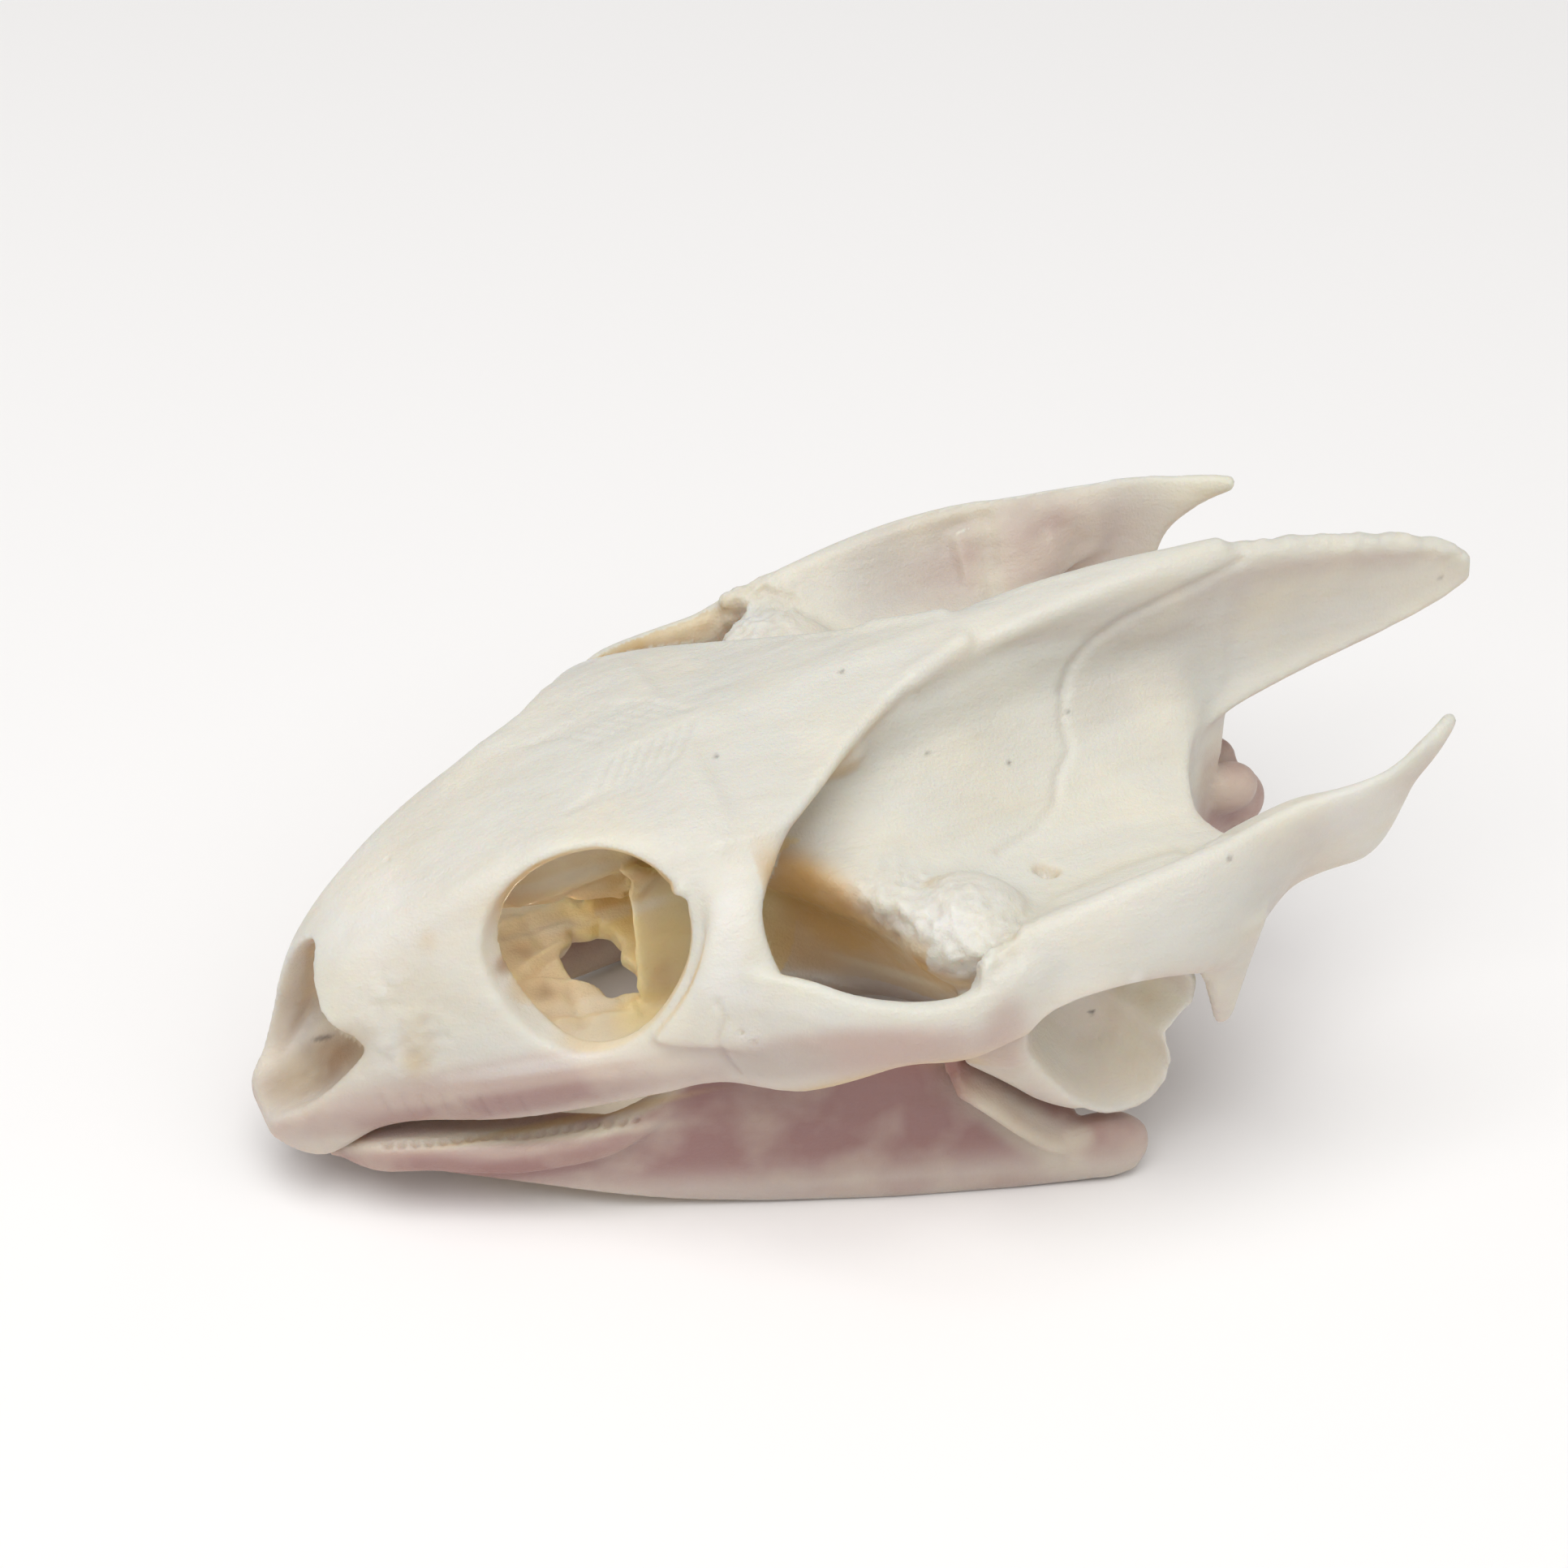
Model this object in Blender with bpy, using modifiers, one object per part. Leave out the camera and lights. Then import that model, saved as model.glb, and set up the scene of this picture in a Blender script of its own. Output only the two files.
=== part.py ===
"""A softshell turtle's skull, resting on its lower jaw, at life size.

Places are given as (back, out, up) in skull units. back runs from the tip of the snout
towards the neck, out from the midline to one side, and up from the floor. A hundred units
are about the length from the snout to the back of the braincase.
"""

import math

import bmesh
import bpy
import numpy as np
from mathutils import Matrix, Vector

UNIT = 0.0008              # metres in one skull unit
SKULL_MIDDLE = 67.6        # units from the snout to the middle of the whole length
VOXEL = 0.55 * UNIT        # grain of the surface when the bones are fused
RING = 40                  # points round a lofted section
BLADE_RING = 18            # points round a thin plate
CUT = 0.0003               # gap between two bones, metres

BONE = {
    "ivory": (0.86, 0.84, 0.78),
    "cream": (0.84, 0.81, 0.73),
    "chalk": (0.88, 0.86, 0.81),
    "jaw": (0.83, 0.80, 0.74),
}


def at(back, out, up):
    """A place in skull units as a point in metres, snout towards +X, left side at +Y."""
    return Vector((SKULL_MIDDLE - back, out, up)) * UNIT


def through(knots):
    """A smooth curve through a few (place: value) knots, which never overshoots them."""
    places = np.array(sorted(knots), float)
    values = np.array([knots[p] for p in sorted(knots)], float)
    steps = np.diff(places)
    slopes = np.diff(values) / steps
    tangents = np.zeros(len(places))
    tangents[0], tangents[-1] = slopes[0], slopes[-1]
    for i in range(1, len(places) - 1):
        if slopes[i - 1] * slopes[i] > 0:
            before, after = 2 * steps[i] + steps[i - 1], steps[i] + 2 * steps[i - 1]
            tangents[i] = (before + after) / (before / slopes[i - 1] + after / slopes[i])

    def value(place):
        place = min(max(place, places[0]), places[-1])
        i = min(int(np.searchsorted(places, place, side="right")) - 1, len(steps) - 1)
        t = (place - places[i]) / steps[i]
        rest = 1 - t
        return float(
            values[i] * (1 + 2 * t) * rest * rest
            + tangents[i] * steps[i] * t * rest * rest
            + values[i + 1] * t * t * (3 - 2 * t)
            - tangents[i + 1] * steps[i] * t * t * rest
        )

    return value


def spline(points, count, closed=False):
    """count points spread along a Catmull-Rom curve through the given ones."""
    knots = [Vector(p) for p in points]
    spans = len(knots) if closed else len(knots) - 1
    found = []
    for i in range(count):
        place = i * spans / (count if closed else count - 1)
        k = min(int(place), spans - 1)
        t = place - k
        if closed:
            a, b, c, d = (knots[(k + j) % len(knots)] for j in (-1, 0, 1, 2))
        else:
            a, b, c, d = (knots[min(max(k + j, 0), spans)] for j in (-1, 0, 1, 2))
        found.append(
            b
            + (c - a) * (t / 2)
            + (a * 2 - b * 5 + c * 4 - d) * (t * t / 2)
            + (b * 3 - a - c * 3 + d) * (t * t * t / 2)
        )
    return found


def loft(name, rings):
    """A closed mesh through rings of equally many points, with a cap on each end ring."""
    mesh = bmesh.new()
    rows = [[mesh.verts.new(p) for p in ring] for ring in rings]
    count = len(rows[0])
    for first, second in zip(rows, rows[1:]):
        for i in range(count):
            j = (i + 1) % count
            mesh.faces.new((first[i], first[j], second[j], second[i]))
    mesh.faces.new(rows[0][::-1])
    mesh.faces.new(rows[-1])
    if mesh.calc_volume(signed=True) < 0:
        bmesh.ops.reverse_faces(mesh, faces=mesh.faces)
    data = bpy.data.meshes.new(name)
    mesh.to_mesh(data)
    mesh.free()
    return linked(name, data)


def linked(name, data):
    made = bpy.data.objects.new(name, data)
    bpy.context.scene.collection.objects.link(made)
    return made


def mirrored_ring(back, half):
    """A full section from its left half, which runs from the top midline to the bottom one."""
    smooth = spline([(0, out, up) for out, up in half], RING // 2 + 1)
    left = [at(back, max(p.y, 0), p.z) for p in smooth]
    right = [Vector((p.x, -p.y, p.z)) for p in reversed(left[1:-1])]
    return left + right


def blade(name, stations, per_span=4, side=1):
    """A thin plate or bar along stations of (one edge, other edge, thickness)."""
    edges = [[at(*s[k]) for s in stations] for k in (0, 1)]
    count = (len(stations) - 1) * per_span + 1
    one, other = (spline(e, count) for e in edges)
    thick = [p.x for p in spline([(s[2] * UNIT, 0, 0) for s in stations], count)]
    middles = [(p + q) / 2 for p, q in zip(one, other)]
    rings = []
    for i, (p, q) in enumerate(zip(one, other)):
        along = middles[min(i + 1, count - 1)] - middles[max(i - 1, 0)]
        half = (p - q) / 2
        across = half.cross(along).normalized() * thick[i] / 2
        ring = []
        for k in range(BLADE_RING):
            angle = 2 * math.pi * k / BLADE_RING
            flat = math.sin(angle)
            ring.append(
                middles[i]
                + half * math.cos(angle)
                + across * math.copysign(abs(flat) ** 0.7, flat)
            )
        rings.append([Vector((v.x, v.y * side, v.z)) for v in ring])
    return loft(name, rings)


def bulb(name, centre, radii, side=1):
    """An ellipsoid with its radii along back, out and up."""
    bpy.ops.mesh.primitive_uv_sphere_add(segments=32, ring_count=20)
    made = bpy.context.object
    made.name = name
    made.scale = [r * UNIT for r in radii]
    made.location = at(centre[0], centre[1] * side, centre[2])
    return made


def both_sides(make, *given, **more):
    return [make(*given, side=1, **more), make(*given, side=-1, **more)]


def evaluated_mesh(thing):
    bpy.context.view_layer.update()
    graph = bpy.context.evaluated_depsgraph_get()
    data = bpy.data.meshes.new_from_object(thing.evaluated_get(graph))
    data.transform(thing.matrix_world)
    return data


def joined(name, things):
    """One object that holds all of these, which are removed."""
    mesh = bmesh.new()
    for thing in things:
        data = evaluated_mesh(thing)
        mesh.from_mesh(data)
        bpy.data.meshes.remove(data)
        bpy.data.objects.remove(thing)
    data = bpy.data.meshes.new(name)
    mesh.to_mesh(data)
    mesh.free()
    return linked(name, data)


def applied(thing):
    """Makes an object's evaluated mesh its own, and drops its modifiers."""
    data = evaluated_mesh(thing)
    thing.modifiers.clear()
    thing.data = data
    thing.matrix_world.identity()
    return thing


def fused(name, things, soften):
    """One skin over all these overlapping pieces, softened where they meet."""
    body = joined(name, things)
    skin = body.modifiers.new("Skin", "REMESH")
    skin.mode = "VOXEL"
    skin.voxel_size = VOXEL
    if soften:
        blend = body.modifiers.new("Soften", "SMOOTH")
        blend.factor = 0.5
        blend.iterations = soften
    return applied(body)


def carved(body, cutters):
    """Takes the cutters out of a body. They are removed."""
    for cutter in cutters:
        cut = body.modifiers.new("Cut", "BOOLEAN")
        cut.operation = "DIFFERENCE"
        cut.solver = "MANIFOLD"
        cut.object = cutter
        applied(body)
        bpy.data.objects.remove(cutter)
    return body


# Lines that the face and roof are drawn from, each against the distance back.
ROOF_UP = through({2: 11, 4: 17, 7.4: 27.6, 10: 30, 14.7: 34, 20: 37, 26: 39.6, 30: 41, 38: 43.3, 45: 45.2,
                   55: 46.8, 60: 47.8, 70: 49.4, 80: 50.6, 95: 52})
RIM_OUT = through({2: 2.5, 7.4: 4.6, 14.7: 7.2, 20: 8.6, 26: 9.8, 30: 11, 34: 13, 38: 15.4, 45: 17,
                   50: 16.4, 55: 13.5, 60: 9.5, 65: 6.5, 70: 4.2, 75: 2.5, 82: 1.4, 95: 1.2})
RIM_UP = through({2: 10, 7.4: 25.2, 14.7: 32, 20: 35.4, 26: 38.4, 30: 40.2, 38: 41.6, 50: 42.8,
                  55: 43.6, 60: 45.5, 65: 46.8, 70: 48.2, 80: 50, 95: 51.4})
CHEEK_OUT = through({2: 3.6, 7.4: 8.2, 12: 10.8, 20: 15, 30: 20.2, 40: 25.6, 50: 31, 56: 34})
CHEEK_UP = through({2: 8.5, 7.4: 13, 12: 16.5, 20: 18.5, 30: 20.5, 40: 24.5, 50: 28.5, 56: 29.5})
JAW_OUT = through({2: 3, 7.4: 7, 12: 9.6, 22: 15, 36: 22, 41: 24.6, 47: 28.6, 56: 33})
JAW_UP = through({2: 8, 4.2: 6.6, 6: 6.4, 9: 8.4, 11: 10.4, 15: 12.2, 22: 13.2, 36: 17.6, 41: 19.6, 47: 20.6,
                  52: 22.5, 56: 25})
PALATE_UP = through({2: 8, 12: 13, 30: 16.5, 60: 16})
NOSE_WALL = through({5: 1.9, 12: 2.4, 20: 5.4, 26: 4.8, 32: 2.8, 37: 1.9, 60: 1.9})
KEEL_UP = through({8: 26, 14: 31, 20: 33, 26: 28.4, 40: 27.6, 60: 27})

# Lines of the braincase and the ear block behind it.
WALL_OUT = through({38: 3, 44: 6.5, 50: 8, 60: 8.6, 70: 8, 80: 5.4, 90: 3.6, 103: 1.8})
WALL_UP = through({38: 35, 60: 39.5, 70: 40.5, 80: 41, 103: 42})
EAR_EDGE_OUT = through({38: 3, 44: 7, 50: 10.5, 53: 13, 56: 17.5, 59.4: 22.4, 62: 27, 65.5: 31.6, 69: 33.2, 75: 32.5,
                        90: 33, 98: 31, 103: 9, 106: 5})
EAR_EDGE_UP = through({38: 33, 53: 33.6, 59.4: 34.6, 65.5: 34.6, 70: 36.6, 80: 39, 90: 41, 98: 41.4, 106: 35})
EAR_DIP_UP = through({38: 34, 53: 35.4, 60: 35.6, 66: 34, 78: 32.6, 90: 33.4, 98: 33, 106: 35.5})
EAR_UNDER = through({38: 29, 46: 27, 53: 28, 60: 27, 66: 22, 80: 18, 98: 24, 106: 33})
FLOOR_OUT = through({38: 2.5, 44: 6, 48: 10.5, 56: 12, 62: 14, 70: 20, 80: 20, 90: 13, 103: 7})
FLOOR_UP = through({38: 27.5, 44: 25.5, 47: 21, 50: 15.5, 60: 15, 100: 15, 106: 30})

# Lines of the crest over the neck: its ridge, its hollow sides and its spread lower edge.
CREST_TOP_UP = through({74: 49, 86: 51.5, 97: 52.4, 107: 52.4, 116: 51.4, 124: 49.8, 131: 47.4, 134.4: 45})
CREST_LOW_UP = through({74: 36, 90: 33, 100: 32.6, 107: 34, 115.4: 36, 124: 38.2, 131: 40.4, 134.4: 42.2})
CREST_TOP_OUT = through({74: 2.8, 97: 2.1, 107: 1.7, 124: 1.4, 134.4: 0.9})
CREST_SIDE_OUT = through({74: 2.6, 90: 2.4, 98: 2, 106: 1.3, 114: 1, 134.4: 0.8})
CREST_LOW_OUT = through({90: 9, 98: 7.4, 102: 5.4, 107: 3.8, 116: 2.5, 124: 1.9, 134.4: 0.9})

# The eye socket's slope, as (how far out, size against the rim, how far back).
ORBIT_STEPS = ((-8, 0.74, 3), (-4, 0.84, 1.8), (-1, 0.94, 0.7), (0.6, 1.01, 0), (3, 1.07, 0), (9, 1.2, 0))

# The top edge of the lower jaw, as (back, out, up).
JAW_EDGE = [(11.3, 7.6, 9.2), (16, 10, 9.7), (20.6, 12, 9.6), (25.3, 14, 9.9), (32.6, 17.3, 12.6),
            (38.4, 19.4, 16.6)]

# The rim of the ear's cup, as (back, out, up).
EAR_RIM = [(69, 33.6, 25.6), (70, 32.8, 20.5), (73.8, 31.6, 14.8), (78.1, 30.8, 10), (82.2, 30.6, 8.4),
           (86.1, 30.8, 9.9), (87.2, 31.4, 14.4), (86, 32, 18.8), (88.6, 32.6, 22.8), (87, 33.4, 28),
           (79, 34.4, 30), (71.5, 34.4, 29)]


def face():
    """The snout, the roof over the eyes and the cheeks, as one solid form."""
    rings = []
    for back in np.linspace(2, 46.5, 40):
        roof, rim = ROOF_UP(back), (RIM_OUT(back), RIM_UP(back))
        cheek, jaw = (CHEEK_OUT(back), CHEEK_UP(back)), (JAW_OUT(back), JAW_UP(back))
        side = ((rim[0] + cheek[0]) / 2 + 0.8, (rim[1] + cheek[1]) / 2 + 1.2)
        half = [(0, roof), (rim[0] * 0.55, roof * 0.7 + rim[1] * 0.3), rim, side, cheek, jaw,
                (jaw[0] - 2.2, jaw[1] + 0.4), (jaw[0] * 0.55, PALATE_UP(back) - 1), (0, PALATE_UP(back))]
        rings.append(mirrored_ring(back, half))
    return loft("face", rings)


def face_hollow():
    """The room inside the face: nose, eye sockets and the passage behind them."""
    floor, side, top = 1.8, 1.9, 2.3
    rings = []
    for back in np.linspace(5, 60, 44):
        wall = NOSE_WALL(back)
        grow = max(0, (back - 44) * 0.1)
        rim = (max(RIM_OUT(min(back, 45)) - side, 1.5), RIM_UP(min(back, 45)) - side)
        cheek = (CHEEK_OUT(back) - wall - 0.6, CHEEK_UP(back) + grow)
        low = PALATE_UP(back) + floor
        ceiling = ROOF_UP(min(back, 45)) - top
        keel = min(KEEL_UP(back), ceiling)
        half = [(0, keel), (rim[0] * 0.24, keel + 0.3), (rim[0] * 0.42, (keel + ceiling) / 2),
                (rim[0] * 0.6, min(rim[1] + 0.2, ceiling)), rim,
                ((rim[0] + cheek[0]) / 2 + 0.4, (rim[1] + cheek[1]) / 2 + 0.6), cheek,
                (max(cheek[0] - 2.5, 1.5), low + 0.4), (cheek[0] * 0.4, low), (0, low)]
        rings.append(mirrored_ring(back, half))
    return loft("face_hollow", rings)


def inner_nostril():
    """The ragged opening through the palate, under the eye sockets."""
    rim = [(34.2, 0), (34.8, 3), (36, 4.4), (36.6, 6.3), (38.6, 5.6), (40.4, 6.6), (41, 2), (40, 0), (41, -2),
           (40.4, -6.6), (38.6, -5.6), (36.6, -6.3), (36, -4.4), (34.8, -3)]
    return loft("inner_nostril", [[at(b, o, up) for b, o in rim] for up in (8, 24)])


def chewing_gap(side=1):
    """The gap beside the palate that the back of the lower jaw rises into."""
    outline = [(37.5, 5), (62, 5), (62, 30), (47, 30), (40, 24), (37.5, 19)]
    gap = prism("gap", outline, (12.5, 0), (2.2, 0.5))
    if side < 0:
        gap.data.transform(Matrix.Diagonal((1, -1, 1, 1)))
        gap.data.flip_normals()
    return gap


def ear_block():
    """The braincase with the ear blocks spreading out from it."""
    rings = []
    for back in np.linspace(38, 105.6, 52):
        half = [(0, ROOF_UP(back)), (RIM_OUT(back) * 0.6, (ROOF_UP(back) + RIM_UP(back)) / 2),
                (RIM_OUT(back), RIM_UP(back)),
                ((RIM_OUT(back) + WALL_OUT(back)) / 2 if back > 62 else WALL_OUT(back) + 1,
                 (RIM_UP(back) + WALL_UP(back)) / 2),
                (WALL_OUT(back), WALL_UP(back)),
                (WALL_OUT(back) * 0.6 + EAR_EDGE_OUT(back) * 0.4, EAR_DIP_UP(back)),
                (WALL_OUT(back) * 0.18 + EAR_EDGE_OUT(back) * 0.82,
                 EAR_DIP_UP(back) * 0.72 + EAR_EDGE_UP(back) * 0.28),
                (EAR_EDGE_OUT(back), EAR_EDGE_UP(back)),
                (EAR_EDGE_OUT(back) - 1, (EAR_EDGE_UP(back) + EAR_UNDER(back)) / 2),
                (EAR_EDGE_OUT(back) * 0.7, EAR_UNDER(back)),
                (FLOOR_OUT(back), FLOOR_UP(back) + 2), (FLOOR_OUT(back) * 0.6, FLOOR_UP(back)),
                (0, FLOOR_UP(back))]
        rings.append(mirrored_ring(back, half))
    return loft("ear_block", rings)


def crest():
    """The long blade over the neck, hollow along its sides and spread at its foot."""
    rings = []
    for back in np.linspace(78, 134.4, 40):
        top, low = CREST_TOP_UP(back), CREST_LOW_UP(back)
        ridge, side, foot = CREST_TOP_OUT(back), CREST_SIDE_OUT(back), CREST_LOW_OUT(back)
        tall = top - low
        half = [(0, top), (ridge, top - 0.07 * tall), (side, top - 0.3 * tall), (side, top - 0.55 * tall),
                (side * 0.6 + foot * 0.4, top - 0.8 * tall), (foot, low + 0.07 * tall), (0, low)]
        rings.append(mirrored_ring(back, half))
    return loft("crest", rings)


def trochlear_lump(side=1):
    """The rough knob at the front of the ear block, where the jaw's tendon turns."""
    return bulb("trochlear_lump", (67, 25, 31.8), (6.6, 6.8, 4.8), side=side)


def brow(side=1):
    """The raised edge of the roof, from the eye bar up to the crest."""
    line = [(44, 16.6, 41.9), (50, 16.3, 41.9), (55, 13.3, 43.3), (60, 9.6, 45), (65, 6.5, 46.4), (70, 4.1, 47.9),
            (76, 2.2, 49.2)]
    return blade("brow", [((b, o, u + 0.9), (b, o, u - 0.9), 1.8) for b, o, u in line], side=side)


def rear_bay(side=1):
    """The bay behind the ear block, between the prong and the knob of the neck."""
    return bulb("rear_bay", (112, 17.5, 30), (16.3, 16, 30), side=side)


def squamosal(side=1):
    """The bone behind the cheek, which runs back into a long curved prong."""
    return blade("squamosal", [
        ((64, 34, 35.4), (63, 36.4, 26.4), 2.8), ((70, 33, 37.4), (70, 36.2, 27.6), 3.6),
        ((78, 33, 39.4), (78, 36.8, 29.8), 4), ((85, 33, 40.8), (85, 36.6, 29.4), 4),
        ((91, 32.6, 41.8), (91, 34.4, 28), 3.4), ((95.4, 31.6, 42.3), (95.6, 31, 29.4), 2.8),
        ((100, 31, 42.7), (99.6, 28.8, 30.8), 2.4), ((105, 30.5, 42.8), (104, 28, 31.2), 2.2),
        ((108.8, 29.9, 43.2), (108.4, 27.2, 30.9), 2), ((112, 28.6, 43.5), (111, 26.6, 32.6), 1.9),
        ((113.8, 27.6, 43.6), (112.7, 26.4, 37.2), 1.9), ((116.6, 26, 44), (116.2, 25.6, 40.4), 1.8),
        ((119.2, 24.2, 44.2), (119.2, 23.8, 42.6), 1.6),
    ], side=side)


def ear_web(side=1):
    """The slope from the squamosal's inner face down into the ear block."""
    return blade("ear_web", [((89, 31, 39.4), (89, 25, 32.6), 1.6), ((95, 30.8, 41), (95, 24, 33.6), 2.4),
                             ((99.5, 30.4, 42), (99.5, 25.6, 34.6), 3), ((104, 30, 42.2), (104, 27.4, 35), 2.2),
                             ((109, 29.6, 42.6), (108.4, 28.4, 36), 1.4)], side=side)


def inner_wall(side=1):
    """The thin wall behind the eye room, from the braincase down to the palate."""
    return blade("inner_wall", [((38.6, 6.2, 34), (39.6, 8.8, 16.4), 1.8), ((45, 8.2, 33), (45, 9.4, 15.8), 1.8),
                                ((50, 9.2, 30), (50, 10, 15.8), 1.8)], side=side)


def spur(side=1):
    """The point that hangs behind the ear."""
    return blade("spur", [((85, 35.4, 32), (95, 33.6, 33), 2.6), ((88, 34.8, 26), (93.4, 33.4, 27), 2.2),
                          ((90.2, 33.6, 19.8), (92, 33.2, 20.6), 1.6)], side=side)


def cheek_bar(side=1):
    """The bar under the temple, from the eye socket to the ear."""
    return blade("cheek_bar", [
        ((43, 25.4, 34), (42, 25.6, 20.6), 2.6), ((48, 29.6, 34.2), (47.4, 29.8, 20.8), 2.8),
        ((52, 32.6, 33.2), (52, 32.4, 22.8), 3), ((57, 34.6, 32.4), (56.4, 34.8, 25.4), 3.2),
        ((62, 35.6, 32.6), (62.4, 35.8, 25.2), 3.2), ((67, 35.2, 35), (68, 36, 26.6), 3.4),
        ((72, 34.4, 36), (72, 35.8, 27), 3)], side=side)


def eye_bar(side=1):
    """The bar behind the eye socket, from the roof to the cheek."""
    return blade("eye_bar", [((40, 14.8, 41.4), (54, 14, 42.4), 2.6), ((41.6, 18.6, 39.4), (49.4, 19, 40), 2.4),
                             ((41, 22.2, 36.2), (46.4, 23.4, 37), 2.4), ((38.4, 23.8, 31), (47.4, 27.6, 32), 2.6),
                             ((35, 23, 25.4), (51, 31, 25.6), 2.6)], side=side)


def ear_funnel(name, steps, side):
    """A funnel inside the ear's rim, as steps of (how far out from the rim, size against the rim)."""
    middle = sum((Vector(p) for p in EAR_RIM), Vector()) / len(EAR_RIM)
    rings = []
    for reach, grow in steps:
        ring = [middle + (Vector(p) - middle) * grow + Vector((0, reach, 0)) for p in EAR_RIM]
        ring = spline([at(p.x, p.y, p.z) for p in ring], 36, closed=True)
        rings.append([Vector((p.x, p.y * side, p.z)) for p in ring])
    return loft(name, rings)


def quadrate(side=1):
    """The bone that flares into the cup of the ear."""
    return ear_funnel("quadrate", ((-15, 0.4), (-10, 0.66), (-5, 0.86), (0, 1)), side)


def ear_front(side=1):
    """The wall of the quadrate in front of the cup, from the cheek bar down to the jaw."""
    wall = blade("ear_wall", [((64.6, 31.4, 27), (65, 29.4, 19.4), 3), ((69, 31.4, 25), (69.2, 29.6, 16), 3.2),
                              ((73, 31, 20), (73.2, 29.4, 12.4), 3.2), ((77.6, 30.4, 15), (77.4, 29.2, 9.8), 2.8)],
                 side=side)
    return joined("ear_front", [wall, bulb("ear_swelling", (70, 30, 24), (6.6, 4, 5.6), side=side)])


def ear_stalk(side=1):
    """The knuckle of the quadrate, over the jaw joint."""
    return bulb("ear_stalk", (81.2, 27, 13.2), (5, 4.4, 4.8), side=side)


def ear_cup(side=1):
    return ear_funnel("ear_cup", ((-8.5, 0.3), (-7.6, 0.5), (-4.5, 0.72), (-1, 0.86), (0.6, 0.95), (5, 1.2)), side)


def condyle():
    """The three-lobed knob that the neck turns on."""
    return [bulb("condyle", (107.8, 0, 20.6), (4.4, 3.8, 3.6)), bulb("neck_root", (101.4, 0, 20), (7, 5, 4.6)),
            bulb("condyle_left", (106.4, 2.6, 24), (3.6, 2.6, 2.8)),
            bulb("condyle_right", (106.4, -2.6, 24), (3.6, 2.6, 2.8))]


def jaw_side(side=1):
    """One half of the lower jaw, from the beak to the joint under the ear."""
    return blade("jaw_side", [
        ((8, 4.8, 7), (8, 4.4, 5.6), 2.6), ((11.3, 7.6, 9.2), (11.3, 6.6, 5.6), 2.8),
        ((16, 10, 9.7), (16, 9.2, 4.9), 2.8),
        ((25.3, 14, 9.9), (25, 13, 3.4), 2.8), ((32.6, 17.3, 12.6), (33, 16.6, 2.2), 2.8),
        ((38.4, 19.4, 16.6), (40, 18.8, 1), 3), ((44, 20.4, 21), (47, 21, 0.4), 3.4),
        ((53, 22.4, 20), (54, 23.2, 0.2), 3.2), ((60, 24, 17.4), (60, 25, 0.1), 3),
        ((67.4, 25.6, 14.8), (68, 27, 0.1), 3.2), ((72.4, 27, 10.4), (74, 28.4, 0.2), 3.4),
        ((77.6, 28.8, 5.4), (80, 29.4, 0.4), 3.6), ((83.6, 30, 5.6), (84.2, 30, 1), 3.6),
    ], side=side)


def jaw_front():
    """The spade at the front of the lower jaw, where its halves meet."""
    rings = []
    for back in np.linspace(4.6, 24, 16):
        out = JAW_OUT(back) - 2.8
        low = 5 - (back - 4) * 0.12
        top = min(PALATE_UP(back) - 3, 8.4)
        half = [(0, top), (out * 0.6, top), (out, top - 0.4), (out - 0.3, low + 1), (out * 0.5, low), (0, low)]
        rings.append(mirrored_ring(back, half))
    return loft("jaw_front", rings)


def jaw_rail(side=1):
    """The thick rim of the lower jaw that the beak closes on, and the table inside it."""
    rim = [((8.2, 4.6, 7.4), (8.2, 4.2, 5.2), 1.4)]
    rim += [((b, o + 1.6, u + 0.2), (b, o + 1.4, u - 3.4), 2.6) for b, o, u in JAW_EDGE[:-1]]
    b, o, u = JAW_EDGE[-1]
    rim.append(((b, o + 0.4, u - 0.6), (b + 0.6, o + 0.2, u - 3), 1.6))
    table = [((b, o, u - 0.8), (b, max(o - 7, 0.4 * o - 2.4), u - 2.6), 2.2) for b, o, u in JAW_EDGE[:-2]]
    b, o, u = JAW_EDGE[-2]
    table.append(((b, o, u - 0.8), (b, o - 1.6, u - 2), 1.8))
    return joined("jaw_rail", [blade("jaw_rail", rim, side=side), blade("jaw_table", table, side=side)])


def jaw_shelf(side=1):
    """The scooped shelf on the outer face of the jaw, before its joint."""
    line = [(64.4, 19, 16.4), (67.6, 16.6, 13.2), (71.4, 12.8, 9.2), (75, 10, 6.2), (78.4, 7.8, 5.2)]
    scoop = blade("jaw_shelf", [((b, 26.4, top), (b, 29.6, low), 1.8) for b, top, low in line], side=side)
    lip = blade("shelf_lip", [((b, 29.2, low + 1), (b, 30.4, low - 0.8), 1.5) for b, top, low in line], side=side)
    return joined("jaw_shelf", [scoop, lip])


def jaw_joint(side=1):
    """The block at the back of the jaw that the skull rests on."""
    return blade("jaw_joint", [
        ((76.6, 29.2, 7.2), (76.8, 28.4, 1), 4), ((80.4, 29.4, 7.4), (80.6, 28.8, 0.2), 5.2),
        ((83.6, 29.6, 6.8), (83.4, 29.2, 0.6), 4.8), ((85.4, 29.4, 5.4), (85.2, 29.2, 2), 2.8),
    ], side=side)


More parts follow.
